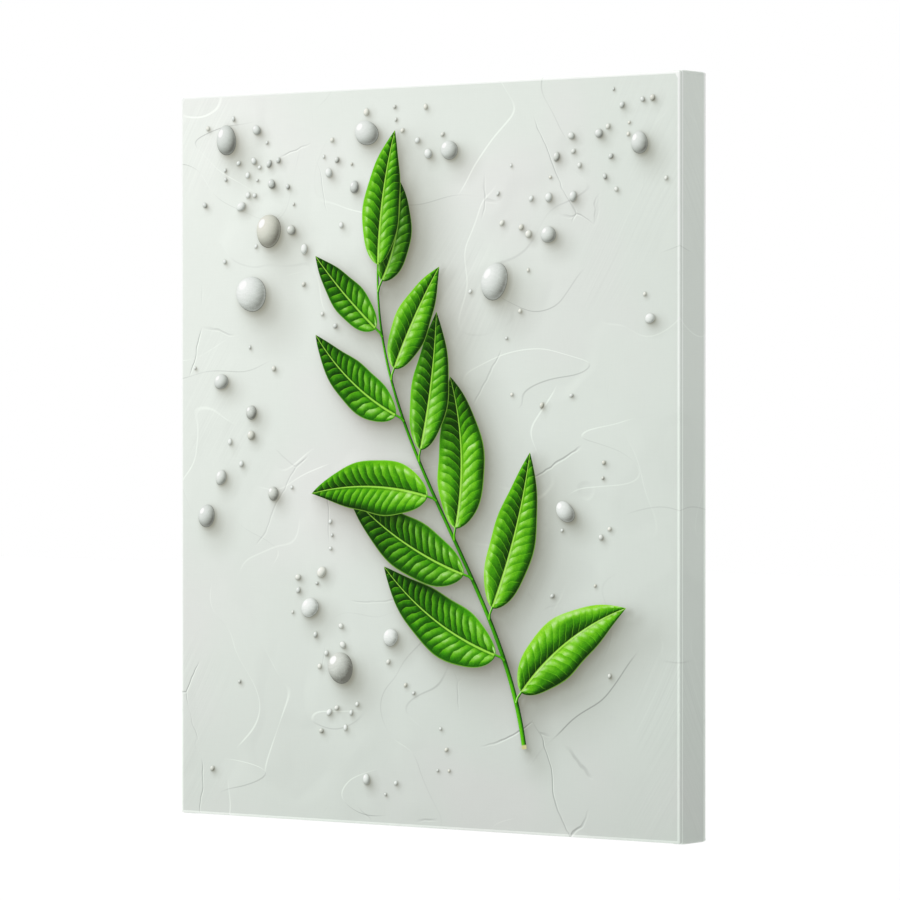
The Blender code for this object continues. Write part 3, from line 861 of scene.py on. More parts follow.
@dataclass
class Leaf(Motif):
    """A leaf on a midrib that bends evenly."""

    base: Array
    heading: float
    length: float
    half: float
    bend: float
    tone: Triple
    slot = PrintSlot.LEAF
    height = 14 * MM
    steps: int = 34
    swell: tuple[float, float] = (0.62, 0.98)  # how fast it widens from its base and from its tip
    waves: float = 2.6
    wave_size: float = 0.030

    def spine(self, along: Array) -> tuple[Array, Array]:
        """Follows the midrib.

        Args:
            along: distances from its base.
        Returns:
            Its places there and its headings.
        """
        turn = self.bend / self.length
        headings = self.heading + turn * along
        x = (np.sin(headings) - math.sin(self.heading)) / turn
        z = (math.cos(self.heading) - np.cos(headings)) / turn
        return self.base + np.stack([x, z], 1), headings

    def half_width(self, share: Array, left: Array) -> Array:
        """Half of the leaf's width, with a slightly waved margin.

        Args:
            share: shares of its length.
            left: whether each is on the left side.
        Returns:
            The half widths.
        """
        rise, fall = self.swell
        peak = rise / (rise + fall)
        top = peak**rise * (1 - peak) ** fall
        share = np.clip(share, 0, 1)
        phase = 2 * math.pi * (self.waves * share + self.tone[1]) + np.where(left, 0.0, 2.0)
        wave = 1 + self.wave_size * np.sin(phase)
        return self.half * wave * share**rise * (1 - share) ** fall / top

    def outline(self) -> Array:
        """Up the right margin and down the left one.

        Returns:
            The corners.
        """
        share = (1 - np.cos(np.linspace(0, math.pi, self.steps + 1))) / 2
        left, right = self.at(share, 1.0), self.at(share, -1.0)
        return np.concatenate([right[:-1], left[:0:-1]])

    def at(self, share: Array, out: float) -> Array:
        """Places on the leaf.

        Args:
            share: shares of the length.
            out: the share of the way from the midrib to the left margin, below 0 to the right one.
        Returns:
            The places.
        """
        middle, headings = self.spine(share * self.length)
        across = np.stack([-np.sin(headings), np.cos(headings)], 1)
        width = self.half_width(share, np.full(len(share), out > 0)) * out
        return middle + across * width[:, None]

    def inner_points(self) -> Array:
        """Points on the midrib and on two lines each side of it."""
        share = np.linspace(0.02, 0.98, self.steps)
        return np.concatenate([self.at(share, out) for out in (-0.66, -0.33, 0, 0.33, 0.66)])

    def find(self, points: Array) -> tuple[Array, Array]:
        """Finds points by the midrib.

        Args:
            points: places on the print.
        Returns:
            How far along the midrib they lie, and how far to its left.
        """
        turn = self.bend / self.length
        centre = self.base + aimed(self.heading + math.pi / 2) / turn
        apart = points - centre
        sign = math.copysign(1, turn)
        heading = np.arctan2(apart[:, 1], apart[:, 0]) + sign * math.pi / 2
        gone = (heading - self.heading + math.pi) % (2 * math.pi) - math.pi
        return gone / turn, 1 / turn - sign * np.linalg.norm(apart, axis=1)

    def places(self, points: Array) -> Array:
        """Where points lie on the leaf.

        Args:
            points: places on the print.
        Returns:
            Shares of the length and of the half width, and the half width itself.
        """
        along, aside = self.find(points)
        share = along / self.length
        half = np.maximum(self.half_width(share, aside > 0), 0.05 * MM)
        return np.stack([np.clip(share, 0, 1), np.clip(aside / half, -1, 1), half], 1)

    def lights(self, points: Array) -> Array:
        """The light along the midrib and to its left."""
        along, _ = self.find(points)
        return turned_light(self.heading + self.bend * along / self.length)


@dataclass
class Stem(Motif):
    """A stem or a leaf's stalk, round and tapered."""

    line: Array
    start_width: float
    end_width: float
    tone: Triple = (0.0, 0.0, 0.0)
    slot = PrintSlot.STEM
    height = 8 * MM

    def headings(self) -> Array:
        """The way that the line goes at each of its points."""
        step = np.gradient(self.line, axis=0)
        return np.arctan2(step[:, 1], step[:, 0])

    def widths(self) -> Array:
        """The stem's width at each point of its line."""
        return np.linspace(self.start_width, self.end_width, len(self.line))

    def outline(self) -> Array:
        """Up its right side and down its left side.

        Returns:
            The corners.
        """
        headings = self.headings()
        across = np.stack([-np.sin(headings), np.cos(headings)], 1) * self.widths()[:, None] / 2
        return np.concatenate([self.line - across, (self.line + across)[::-1]])

    def nearest(self, points: Array) -> tuple[Array, Array]:
        """Finds the stretch of the line that each point is nearest to.

        Args:
            points: places on the print.
        Returns:
            The stretches' numbers, and the share passed of each.
        """
        start = self.line[:-1]
        step = self.line[1:] - start
        apart = points[:, None, :] - start[None]
        share = np.clip((apart * step).sum(2) / (step * step).sum(1), 0, 1)
        gap = np.linalg.norm(apart - share[:, :, None] * step, axis=2)
        number = gap.argmin(1)
        return number, share[np.arange(len(points)), number]

    def places(self, points: Array) -> Array:
        """Where points lie on the stem.

        Args:
            points: places on the print.
        Returns:
            Shares of the length and of the half width, and the half width itself.
        """
        number, share = self.nearest(points)
        heading = self.headings()[number]
        base = self.line[number] + (self.line[number + 1] - self.line[number]) * share[:, None]
        apart = points - base
        aside = apart[:, 1] * np.cos(heading) - apart[:, 0] * np.sin(heading)
        half = self.widths()[number] / 2
        along = (number + share) / (len(self.line) - 1)
        return np.stack([along, np.clip(aside / half, -1, 1), half], 1)

    def lights(self, points: Array) -> Array:
        """The light along the stem and to its left."""
        return turned_light(self.headings()[self.nearest(points)[0]])


@dataclass
class Pebble(Motif):
    """An oval pebble."""

    centre: Array
    half_long: float
    half_short: float
    turn: float
    tone: Triple
    slot = PrintSlot.PEBBLE

    @property
    def height(self) -> float:
        """Half of its thickness."""
        return self.half_short * 0.8

    @property
    def small(self) -> bool:
        """Whether it is among the small ones."""
        return self.half_long < SMALL_PEBBLE

    def outline(self) -> Array:
        """An oval with a slightly uneven edge.

        Returns:
            The corners.
        """
        angles = np.linspace(0, 2 * math.pi, 14 if self.small else 36, endpoint=False)
        uneven = 1 + self.unevenness(angles)
        along = np.cos(angles) * self.half_long * uneven
        aside = np.sin(angles) * self.half_short * uneven
        return self.centre + self.turned(along, aside)

    def turned(self, along: Array, aside: Array) -> Array:
        """Turns steps along and across the pebble into steps on the print."""
        cos, sin = aimed(self.turn)
        return np.stack([along * cos - aside * sin, along * sin + aside * cos], 1)

    def unevenness(self, angles: Array) -> Array:
        """How far the edge departs from an oval, as a share of its size."""
        phase = self.tone[1]
        return 0.035 * np.sin(2 * angles + 6 * phase) + 0.02 * np.sin(3 * angles + 9 * phase)

    def polar(self, points: Array) -> tuple[Array, Array]:
        """Finds points in the pebble's own oval.

        Args:
            points: places on the print.
        Returns:
            How far out they are, 1 at the edge, and their angles.
        """
        apart = points - self.centre
        cos, sin = aimed(self.turn)
        along = (apart[:, 0] * cos + apart[:, 1] * sin) / self.half_long
        aside = (apart[:, 1] * cos - apart[:, 0] * sin) / self.half_short
        angles = np.arctan2(aside, along)
        return np.hypot(along, aside) / (1 + self.unevenness(angles)), angles

    def depth(self, points: Array) -> Array:
        """How deep points lie inside it, in metres."""
        return (1 - self.polar(points)[0]) * (self.half_short + self.half_long) / 2

    def places(self, points: Array) -> Array:
        """Where points lie on the pebble.

        Args:
            points: places on the print.
        Returns:
            How far to the right and up its surface faces there, and its tint.
        """
        out, angles = self.polar(points)
        facing = self.turned(np.cos(angles) * out, np.sin(angles) * out)
        return np.column_stack([facing, np.full(len(points), self.tone[0])])


@dataclass
class Artwork:
    """The picture's layout: a sprig that leans to the left, with pebbles strewn about it."""

    half_width: float
    half_height: float
    seed: int = 5
    stem_guides: tuple[tuple[float, float], ...] = ((104, -236), (84, -96), (-50, 4), (-44, 158))  # mm
    stem_widths: tuple[float, float] = (4.6 * MM, 2.0 * MM)
    stalk_widths: tuple[float, float] = (2.5 * MM, 1.7 * MM)
    stalk: float = 9 * MM
    leaf_count: int = 11
    leaf: float = 118 * MM
    tip_leaf: tuple[float, float] = (112 * MM, 19 * MM)
    # how many pebbles a group has, and the half lengths in mm that they lie between
    groups: tuple[Triple, ...] = ((6, 11.5, 17.0), (11, 6.0, 10.0), (24, 3.0, 5.2), (98, 1.2, 2.6))
    # a shadow's reach and blur for each metre of height, and its strength
    shadows: tuple[Triple, ...] = ((0.32, 0.40, 0.54), (1.0, 1.1, 0.46), (2.5, 2.9, 0.33))

    def __post_init__(self) -> None:
        """Lays out every motif, the lowest first."""
        draw = random.Random(self.seed)
        sprig = list(self.sprig(draw))
        self.motifs = sprig + self.pebbles(draw, sprig)

    def stem_at(self, share: Array) -> Array:
        """Places on the main stem, a curve through four guide points.

        Args:
            share: shares of the way along it.
        Returns:
            The places.
        """
        back = 1 - share
        weights = np.stack([back**3, 3 * back**2 * share, 3 * back * share**2, share**3], 1)
        return weights @ (np.array(self.stem_guides) * MM)

    def sprig(self, draw: random.Random) -> Iterator[Motif]:
        """The main stem, then each leaf with its stalk, up to the one at the tip.

        Args:
            draw: the random numbers.
        Returns:
            Its parts, the lowest first.
        """
        line = self.stem_at(np.linspace(0, 1, 90))
        yield Stem(line, *self.stem_widths, (1.0, 0.0, 0.0))
        for number in range(self.leaf_count):
            share = 0.09 + 0.86 * number / (self.leaf_count - 1)
            at, ahead = self.stem_at(np.array([share, share + 0.01]))
            way = math.atan2(*(ahead - at)[::-1])
            side = 1 if number % 2 else -1
            # leaves lean in towards the tip, and the largest are a third of the way up
            lean = side * math.radians(56 - 22 * share + draw.uniform(-6, 6))
            mid = at + 0.5 * self.stalk * aimed(way + lean * 0.6)
            base = mid + 0.6 * self.stalk * aimed(way + lean)
            size = 0.70 + 0.42 * math.sin(math.pi * min(1.0, share * 0.85 + 0.22))
            length = self.leaf * size * draw.uniform(0.94, 1.06)
            half = length * draw.uniform(0.165, 0.19)
            bend = side * math.radians(draw.uniform(10, 34)) * (-1 if draw.random() < 0.7 else 1)
            tone = (draw.uniform(-0.5, 0.6), draw.random(), length)
            yield Leaf(base, way + lean, length, half, bend, tone)
            bent = np.array([at, at + (mid - at) * 0.55, mid, base, base + (base - mid) * 0.25])
            yield Stem(bent, *self.stalk_widths)
        way = math.atan2(*(line[-1] - line[-3])[::-1])
        length, half = self.tip_leaf
        yield Leaf(line[-1], way, length, half, math.radians(-16), (0.3, 0.2, length))

    def pebbles(self, draw: random.Random, sprig: list[Motif]) -> list[Motif]:
        """Pebbles in loose groups, clear of the sprig and of each other.

        Args:
            draw: the random numbers.
            sprig: the sprig's parts.
        Returns:
            The pebbles.
        """
        placed: list[Pebble] = []
        spread = (self.half_width - 26 * MM, self.half_height - 30 * MM)
        for count, least, most in self.groups:
            wanted = len(placed) + count
            while len(placed) < wanted:
                size = draw.uniform(least, most) * MM
                if placed and size < 6 * MM and draw.random() < 0.75:
                    near = draw.choice(placed)
                    away = near.half_long + draw.uniform(4, 34) * MM
                    centre = near.centre + away * aimed(draw.uniform(0, 2 * math.pi))
                else:
                    centre = np.array([draw.uniform(-s, s) for s in spread])
                turn = draw.uniform(0, math.pi)
                tone = (draw.uniform(-1, 1), draw.random(), min(1.0, size / (8 * MM)))
                stone = Pebble(centre, size, size * draw.uniform(0.74, 0.97), turn, tone)
                if self.free(stone, sprig, placed):
                    placed.append(stone)
        return list(placed)

    def free(self, stone: Pebble, sprig: list[Motif], placed: list[Pebble]) -> bool:
        """Whether a pebble lies on the picture and touches nothing.

        Args:
            stone: the pebble.
            sprig: the sprig's parts.
            placed: the pebbles that are there.
        Returns:
            Whether it may stay.
        """
        inside = (self.half_width - 9 * MM, self.half_height - 9 * MM)
        if any(abs(c) + stone.half_long > limit for c, limit in zip(stone.centre, inside)):
            return False
        for other in placed:
            room = other.half_long + stone.half_long + 2 * MM
            if np.linalg.norm(other.centre - stone.centre) < room:
                return False
        room = stone.half_long + 5 * MM
        return all(shape.depth(stone.centre[None])[0] < -room for shape in sprig)

    def shade_on(self, points: Array, above: Iterable[Motif], crisp: float = 1.0) -> Array:
        """How dark the motifs' shadows are at points, from 0 to 1.

        Args:
            points: places on the print.
            above: the motifs that cast shadows there.
            crisp: a factor on the shadows' reach, below 1 for what lies close under a motif.
        Returns:
            One number for each point.
        """
        light = np.ones(len(points))
        for motif in above:
            high = motif.height * crisp
            for reach, blur, strength in self.shadows:
                moved = points - SHADOW_FALL * high * reach
                near = motif.reached(moved, high * blur)
                depth = motif.depth(moved[near])
                share = np.clip(0.5 + depth / (2 * high * blur), 0, 1)
                light[near] *= 1 - strength * eased(share)
        return 1 - light


# The cloth's mesh while it is made


@dataclass(frozen=True)
class Step:
    """A place on the cloth's way from the front round to the back."""

    inset: float
    depth: float
    travelled: float
    outward: float
    backward: float
    inner: bool = False


class Side(Enum):
    """The four sides of the picture, each with the way that it faces."""

    RIGHT = (1, 0)
    TOP = (0, 1)
    LEFT = (-1, 0)
    BOTTOM = (0, -1)

    @property
    def level(self) -> bool:
        """Whether it is the top or the bottom, where the cloth is pleated."""
        return self in (Side.TOP, Side.BOTTOM)


@dataclass(frozen=True)
class Column:
    """A line of the cloth that runs from the front round a side to the back."""

    side: Side
    along: float
    out: tuple[float, float]
    corner: bool = False
    rise: float = 0.0
    tuck: float = 0.0
    # -1 in a fold's valley, which is painted darker as shade, up to 1 on its crown, which is painted
    # lighter
    crease: float = 0.0


@dataclass
class Patch:
    """A flat filling: its points, its triangles and the numbers of its edge's points in order."""

    points: Array
    faces: list[list[int]]
    edge_ids: list[int]


@dataclass
class MeshTable:
    """Writes values onto a mesh's points and corners."""

    mesh: bpy.types.Mesh

    def __post_init__(self) -> None:
        """Reads which point and which face each corner belongs to."""
        self.corner_point = np.zeros(len(self.mesh.loops), np.int32)
        self.mesh.loops.foreach_get("vertex_index", self.corner_point)
        self.totals = np.zeros(len(self.mesh.polygons), np.int32)
        self.mesh.polygons.foreach_get("loop_total", self.totals)
        self.corner_face = np.repeat(np.arange(len(self.totals)), self.totals)

    def face_middles(self, flat: Array) -> Array:
        """The faces' middles on the print.

        Args:
            flat: each point's place on the print.
        Returns:
            One place for each face.
        """
        places = flat[self.corner_point]
        sums = np.stack([np.bincount(self.corner_face, places[:, axis]) for axis in (0, 1)], 1)
        return sums / self.totals[:, None]

    def write(self, name: str, values: Array, domain: str = "POINT") -> None:
        """Writes an attribute.

        Args:
            name: its name.
            values: a number or a vector for each point or corner.
            domain: Blender's name of what has the values.
        """
        kind, key = ("FLOAT", "value") if values.ndim == 1 else ("FLOAT_VECTOR", "vector")
        layer = self.mesh.attributes.new(name, kind, domain)
        layer.data.foreach_set(key, values.astype(np.float32).ravel())


def thinned(points: Array, known: Array, gap: float) -> Array:
    """Drops points that are close to the known ones or to each other.

    Args:
        points: the points.
        known: points that stay whatever is near them.
        gap: the least distance.
    Returns:
        The points that are left.
    """
    tree = KDTree(len(known) + len(points))
    for number, point in enumerate([*known, *points]):
        tree.insert((*point, 0.0), number)
    tree.balance()
    dropped = set()
    kept = []
    for number, point in enumerate(points, len(known)):
        near = [i for _, i, _ in tree.find_range((*point, 0.0), gap) if i < number and i not in dropped]
        if near:
            dropped.add(number)
        else:
            kept.append(point)
    return np.array(kept)


def add_object(name: str, data: bpy.types.ID) -> bpy.types.Object:
    """Adds an object to the scene.

    Args:
        name: its name.
        data: its mesh, light or camera.
    Returns:
        The object.
    """
    made = bpy.data.objects.new(name, data)
    bpy.context.scene.collection.objects.link(made)
    return made


@dataclass
class Sheet:
    """The points and faces of the cloth, with the ring and the column that each point belongs to."""

    cloth: "WrappedCloth"
    edge: Array  # where each column leaves the front, on the print
    points: list[Triple] = field(default_factory=list)
    faces: list[tuple[int, ...]] = field(default_factory=list)
    travelled: list[float] = field(default_factory=list)
    columns_of: list[tuple[int, int]] = field(default_factory=list)
    raw_faces: list[int] = field(default_factory=list)
    rings_of: list[int] = field(default_factory=list)  # the faces' rings, -1 in a filling
    front_faces: int = 0

    def add_patch(self, patch: Patch, depth: float, joined: Iterable[int] = ()) -> None:
        """Adds a filling.

        Args:
            patch: the filling.
            depth: its place along Y.
            joined: for the inner one, the mesh's points that its edge uses.
        """
        ids = dict(zip(patch.edge_ids, joined))
        inner = bool(ids)
        for number, (x, z) in enumerate(patch.points):
            if number not in ids:
                point = (float(x), depth, self.cloth.middle + float(z))
                ids[number] = self.add_point(point, 1.0 if inner else 0.0, (-1, -1))
        for face in patch.faces:
            corners = tuple(ids[n] for n in (reversed(face) if inner else face))
            self.add_face(corners, -1, inner)
        if not inner:
            self.front_faces = len(self.faces)

    def add_point(self, point: Triple, travelled: float, column: tuple[int, int]) -> int:
        """Adds a point.

        Args:
            point: its place.
            travelled: how far round from the front it is.
            column: the numbers of its ring and its column.
        Returns:
            Its number.
        """
        self.points.append(point)
        self.travelled.append(travelled)
        self.columns_of.append(column)
        return len(self.points) - 1

    def add_face(self, corners: tuple[int, ...], ring: int, raw: bool) -> None:
        """Adds a face.

        Args:
            corners: its points' numbers.
            ring: its ring's number.
            raw: whether it is of the unprinted inside.
        """
        if raw:
            self.raw_faces.append(len(self.faces))
        self.faces.append(corners)
        self.rings_of.append(ring)

    def add_rings(self, rings: list[list[Triple]], first: list[int]) -> list[int]:
        """Adds the rings of the sides and the back, from the front's edge on.

        Args:
            rings: each ring's points.
            first: the numbers of the first ring's points, which the front has.
        Returns:
            The numbers of the last ring's points.
        """
        before = first
        for column, number in enumerate(first):
            self.columns_of[number] = (0, column)
        for ring_number, (ring, step) in enumerate(zip(rings[1:], self.cloth.steps[1:]), 1):
            travelled = 1.0 if step.inner else step.travelled
            now = [self.add_point(p, travelled, (ring_number, n)) for n, p in enumerate(ring)]
            for n in range(len(ring)):
                after = (n + 1) % len(ring)
                corners = (before[n], now[n], now[after], before[after])
                self.add_face(corners, ring_number, step.inner)
            before = now
        return before

    def flat(self) -> Array:
        """Where each point lies on the print.

        Returns:
            One place for each point.
        """
        cloth = self.cloth
        found = []
        for (x, _, z), (ring, column) in zip(self.points, self.columns_of):
            if ring <= 0:
                found.append(np.array((x, z - cloth.middle)))
            else:
                out = np.array(cloth.columns[column].out)
                found.append(self.edge[column] + out * cloth.mirrored(cloth.steps[ring]))
        return np.array(found)

    def creases(self) -> Array:
        """How each point lies in the cloth's folds, which sets the painted fold shade.

        Returns:
            One number for each point, from -1 in a valley to 1 on a crown.
        """
        cloth = self.cloth
        found = np.zeros(len(self.points))
        for number, (ring, column) in enumerate(self.columns_of):
            if ring > 0:
                found[number] = cloth.creased(cloth.columns[column], cloth.steps[ring])
        return found

    def bake_map(self) -> Array:
        """A flat map of the cut cloth: its outside at full size, and its inside small beside it.

        Returns:
            One place for each corner of each face, from 0 to 1.
        """
        cloth = self.cloth
        reach = max(s.travelled for s in cloth.steps) + 1 * MM
        low = -np.array((cloth.half_x, cloth.half_z)) - reach
        scale = 0.996 / (2 * (cloth.half_z + reach))
        small = 0.16
        beside = np.array(((2 * (cloth.half_x + reach)) * scale + 0.006, 0.002))
        raw = set(self.raw_faces)
        last_outer = max(n for n, s in enumerate(cloth.steps) if not s.inner)
        found = []
        for number, face in enumerate(self.faces):
            inside = number in raw and self.rings_of[number] != last_outer + 1
            for corner in face:
                ring, column = self.columns_of[corner]
                x, _, z = self.points[corner]
                place = np.array((x, z - cloth.middle))
                if ring > 0:
                    step = cloth.steps[ring]
                    gone = step.travelled
                    if step.inner and not inside:
                        gone = cloth.steps[last_outer].travelled + cloth.thickness
                    place = self.edge[column] + np.array(cloth.columns[column].out) * gone
                at = (place - low) * scale
                found.append(at * small + beside if inside else at + 0.002)
        return np.array(found)


# The cloth


PLEAT_PROUD = 1.0 * MM  # how far the solid's pleats stand out at its top and its foot

# across a pleat's folded edge, from the side's middle out: how far from the edge a column lies, how far
# it is tucked under and how far it stands up, all in mm, and whether it is in a valley or on a crown
# the ground's finish paints shade in the valleys and paints the crowns lighter
PLEAT = (
    (-1.70, 0.00, 0.00, 0.0),
    (-0.55, 0.00, 0.00, -0.8),
    (-0.30, -0.35, 0.02, -1.0),
    (-0.10, 0.15, 0.20, -0.7),
    (0.10, 0.32, 0.55, 0.0),
    (0.30, 0.05, 0.90, 1.0),
    (0.55, -0.40, 0.99, 0.6),
)


def quarter_turn(count: int) -> list[float]:
    """The angles of a quarter turn in even steps, from 0."""
    return [math.pi / 2 * n / count for n in range(count + 1)]


@dataclass
class WrappedCloth:
    """One printed cloth, stretched over the bars, pleated at its corners and folded onto the back."""

    width: float
    height: float
    front: float
    back: float
    middle: float
    staples: dict[Side, list[float]]
    thickness: float = 0.5 * MM
    fold_radius: float = 1.6 * MM
    corner_radius: float = 0.4 * MM
    tight_corner: float = 0.25 * MM
    turned_in: float = 22 * MM
    fold_turns: int = 5  # steps round the front fold
    side_rows: int = 8  # and down the side
    back_turns: int = 4  # and round the back fold
    inner_turns: int = 3  # and round each of the two along the inside
    corner_turns: int = 5  # and round a corner of the picture
    back_rows: tuple[float, ...] = (0.12, 0.3, 0.5, 0.7, 0.86, 0.96, 1.0)  # up to the cut edge
    bleed: float = 6 * MM  # how far the ink goes on over the back
    column_gap: float = 3 * MM
    grid_gap: float = 5 * MM
    inner_grid_gap: float = 25 * MM
    grid_margin: float = 3.5 * MM
    pleat_start: float = 2.2 * MM  # from a pleat's folded edge to the corner, at the front
    pleat_slope: float = 0.92
    pleat_height: float = 0.92 * MM
    pleat_gap: float = 0.2 * MM  # the least room between a pleat's edge and the corner
    tucked_over: float = 6 * MM  # a pleat's edge is tucked under over this way
    eased_over: float = 10 * MM  # and rises to its full height over this way
    pressed_over: float = 9 * MM  # on the back it is pressed flat over this way
    left_height: float = 0.5 * MM  # and this height is left there
    left_reach: float = 38 * MM  # up to here from the corner
    left_fade: float = 16 * MM
    gathered_from: float = 140 * MM  # how far from the corner the cloth starts to gather
    billow: float = 0.60 * MM  # how far the cut edge gapes between two staples
    pucker: float = 0.34 * MM
    pucker_width: float = 2.6 * MM
    pucker_start: float = 4 * MM  # a pucker's way aside from its staple at the fold
    pucker_spread: float = 9 * MM  # and how much farther aside it is at the cut edge
    ragged: float = 0.45 * MM  # how unevenly the edge is cut
    ragged_from: float = 0.9  # in the last rows before it
    ragged_waves: tuple[float, float] = (61, 173)  # two waves along it, in radians for each metre
    point_gap: float = 0.62 * MM  # the least distance between points in and round the printed shapes
    clear: float = 2.4 * MM  # and from them to the grid's points

    @classmethod
    def over_frame(cls) -> "WrappedCloth":
        """Fits the cloth to the frame's canvas and staples.

        Returns:
            The cloth.
        """
        low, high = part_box("canvas")
        middle = (low.z + high.z) / 2
        staples = {}
        for side in Side:
            boxes = [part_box(n) for n in frame["nodes"] if n.startswith(f"staple_{side.name.lower()}_")]
            axis, zero = (0, 0.0) if side.level else (2, middle)
            staples[side] = sorted((start[axis] + end[axis]) / 2 - zero for start, end in boxes)
        height = high.z - low.z - 2 * PLEAT_PROUD
        return cls(high.x - low.x, height, low.y, high.y, middle, staples)

    def __post_init__(self) -> None:
        """Works out the path and the columns."""
        self.deep = self.back - self.front
        self.half_x = self.width / 2
        self.half_z = self.height / 2
        self.steps = self.path()
        self.columns = self.ring_columns()

    def path(self) -> list[Step]:
        """The steps round the outside to the cut edge, and back along the inside.

        Returns:
            The steps in order.
        """
        r = self.fold_radius
        quarter = math.pi * r / 2
        side = self.deep - 2 * r
        steps = []
        for turn in quarter_turn(self.fold_turns):
            inset, depth = r * (1 - math.sin(turn)), r * (1 - math.cos(turn))
            steps.append(Step(inset, depth, r * turn, math.sin(turn), 0.0))
        for down in (side * n / self.side_rows for n in range(1, self.side_rows)):
            steps.append(Step(0.0, r + down, quarter + down, 1.0, 0.0))
        for turn in quarter_turn(self.back_turns):
            inset, depth = r * (1 - math.cos(turn)), self.deep - r + r * math.sin(turn)
            steps.append(Step(inset, depth, quarter + side + r * turn, math.cos(turn), math.sin(turn)))
        flat = self.turned_in - r
        for gone in (flat * share for share in self.back_rows):
            steps.append(Step(r + gone, self.deep, 2 * quarter + side + gone, 0.0, 1.0))
        return steps + self.inner_path(r - self.thickness, flat, side)

    def inner_path(self, r: float, flat: float, side: float) -> list[Step]:
        """The inside's steps, from the cut edge to the front.

        Args:
            r: the inside's radius at the folds.
            flat: the length of the part that is turned in flat.
            side: the length of the side's flat part.
        Returns:
            The steps in order.
        """
        wide = self.fold_radius
        whole = math.pi * r + side
        steps = []
        for gone in (flat, flat / 2, 0.0):
            steps.append(Step(wide + gone, self.deep - self.thickness, whole + gone, 0.0, 1.0, True))
        turns = quarter_turn(self.inner_turns)[::-1]
        for turn in turns[1:]:
            inset, depth = wide - r * math.cos(turn), self.deep - wide + r * math.sin(turn)
            steps.append(Step(inset, depth, math.pi * r / 2 + side + r * turn, 1.0, 0.0, True))
        for turn in turns:
            inset, depth = wide - r * math.sin(turn), wide - r * math.cos(turn)
            steps.append(Step(inset, depth, r * turn, 1.0, 0.0, True))
        return steps

    def corner_size(self, inset: float) -> float:
        """The radius of the picture's corners at an inset."""
        return max(self.tight_corner, self.corner_radius + self.fold_radius - inset)

    def straight_half(self, side: Side, step: Step) -> float:
        """Half of the length of a side's straight part at a step."""
        whole = self.half_x if side.level else self.half_z
        return whole - step.inset - self.corner_size(step.inset)

    def ring_columns(self) -> list[Column]:
        """The columns in order, anticlockwise as the front shows them.

        Returns:
            One column for each point of a ring.
        """
        ring = []
        sides = list(Side)
        for side, following in zip(sides, sides[1:] + sides[:1]):
            backward = side in (Side.TOP, Side.LEFT)
            half = self.straight_half(side, self.steps[0])
            ring += sorted(self.side_columns(side, half), key=lambda c: c.along, reverse=backward)
            ring += self.corner_columns(side, following)
        return ring

    def side_columns(self, side: Side, half: float) -> list[Column]:
        """A side's columns, with a pleat's folded edge at each end of the top and of the bottom.

        Args:
            side: the side.
            half: half of its length.
        Returns:
            The columns, in no order.
        """
        fold = half - self.pleat_start
        plain = fold - 3 * MM if side.level else half
        count = 2 * round(plain / self.column_gap)
        found = [Column(side, -plain + 2 * plain * n / count, side.value) for n in range(count + 1)]
        if not side.level:
            return found
        for end in (-1, 1):
            for offset, tuck, rise, crease in PLEAT:
                along = end * (fold + offset * MM)
                found.append(Column(side, along, side.value, False, rise * MM, -tuck * MM * end, crease))
            for share in (0.55, 0.78, 1.0):
                along = end * (fold + (half - fold) * share)
                found.append(Column(side, along, side.value, False, self.pleat_height))
        return found

    def corner_columns(self, side: Side, following: Side) -> list[Column]:
        """The columns round a corner.

        Args:
            side: the side before the corner.
            following: the side after it.
        Returns:
            The columns in order.
        """
        start = math.atan2(side.value[1], side.value[0])
        level = side if side.level else following
        found = []
        for turn in quarter_turn(self.corner_turns)[1:-1]:
            out = (math.cos(start + turn), math.sin(start + turn))
            found.append(Column(level, 0.0, out, True, self.pleat_height))
        return found

    def gathered(self, column: Column, step: Step) -> float:
        """Where a column stands along its side: a pleat's fold draws it towards the middle.

        Args:
            column: the column.
            step: the step.
        Returns:
            The place along the side, from its middle.
        """
        base = self.straight_half(column.side, self.steps[0])
        now = self.straight_half(column.side, step)
        known = [0.0, base - self.gathered_from, base]
        moved = [0.0, base - self.gathered_from, now]
        if column.side.level:
            gone = step.travelled * self.pleat_slope
            known.insert(2, base - self.pleat_start)
            moved.insert(2, min(base - self.pleat_start - gone, now - self.pleat_gap))
        place = float(np.interp(abs(column.along), known, moved))
        share = min(1.0, step.travelled / self.tucked_over)
        return math.copysign(place, column.along) + column.tuck * share * self.pressed(step)

    def pressed(self, step: Step) -> float:
        """How much of a pleat's folded edge is left at a step: on the back it is pressed flat."""
        behind = step.travelled - (self.deep - self.fold_radius)
        return min(1.0, max(0.0, 1 - behind / self.pressed_over))

    def lift(self, column: Column, step: Step) -> float:
        """How far the outer cloth stands off the flat, for pleats and puckers.

        Args:
            column: the column.
            step: the step.
        Returns:
            The height over the flat cloth.
        """
        if step.inner:
            return 0.0
        high = column.rise * eased(min(1.0, step.travelled / self.eased_over))
        pressed = self.pressed(step)
        left = 0.0
        if column.side.level:
            from_corner = 0.0 if column.corner else self.half_x - abs(self.gathered(column, step))
            near = min(1.0, max(0.0, (self.left_reach - from_corner) / self.left_fade))
            left = self.left_height * eased(near)
        high = high * pressed + left * (1 - pressed)
        if step.inset > self.fold_radius and not column.corner:
            edge = (step.inset - self.fold_radius) / (self.turned_in - self.fold_radius)
            high += self.slack(column, edge)
        return high

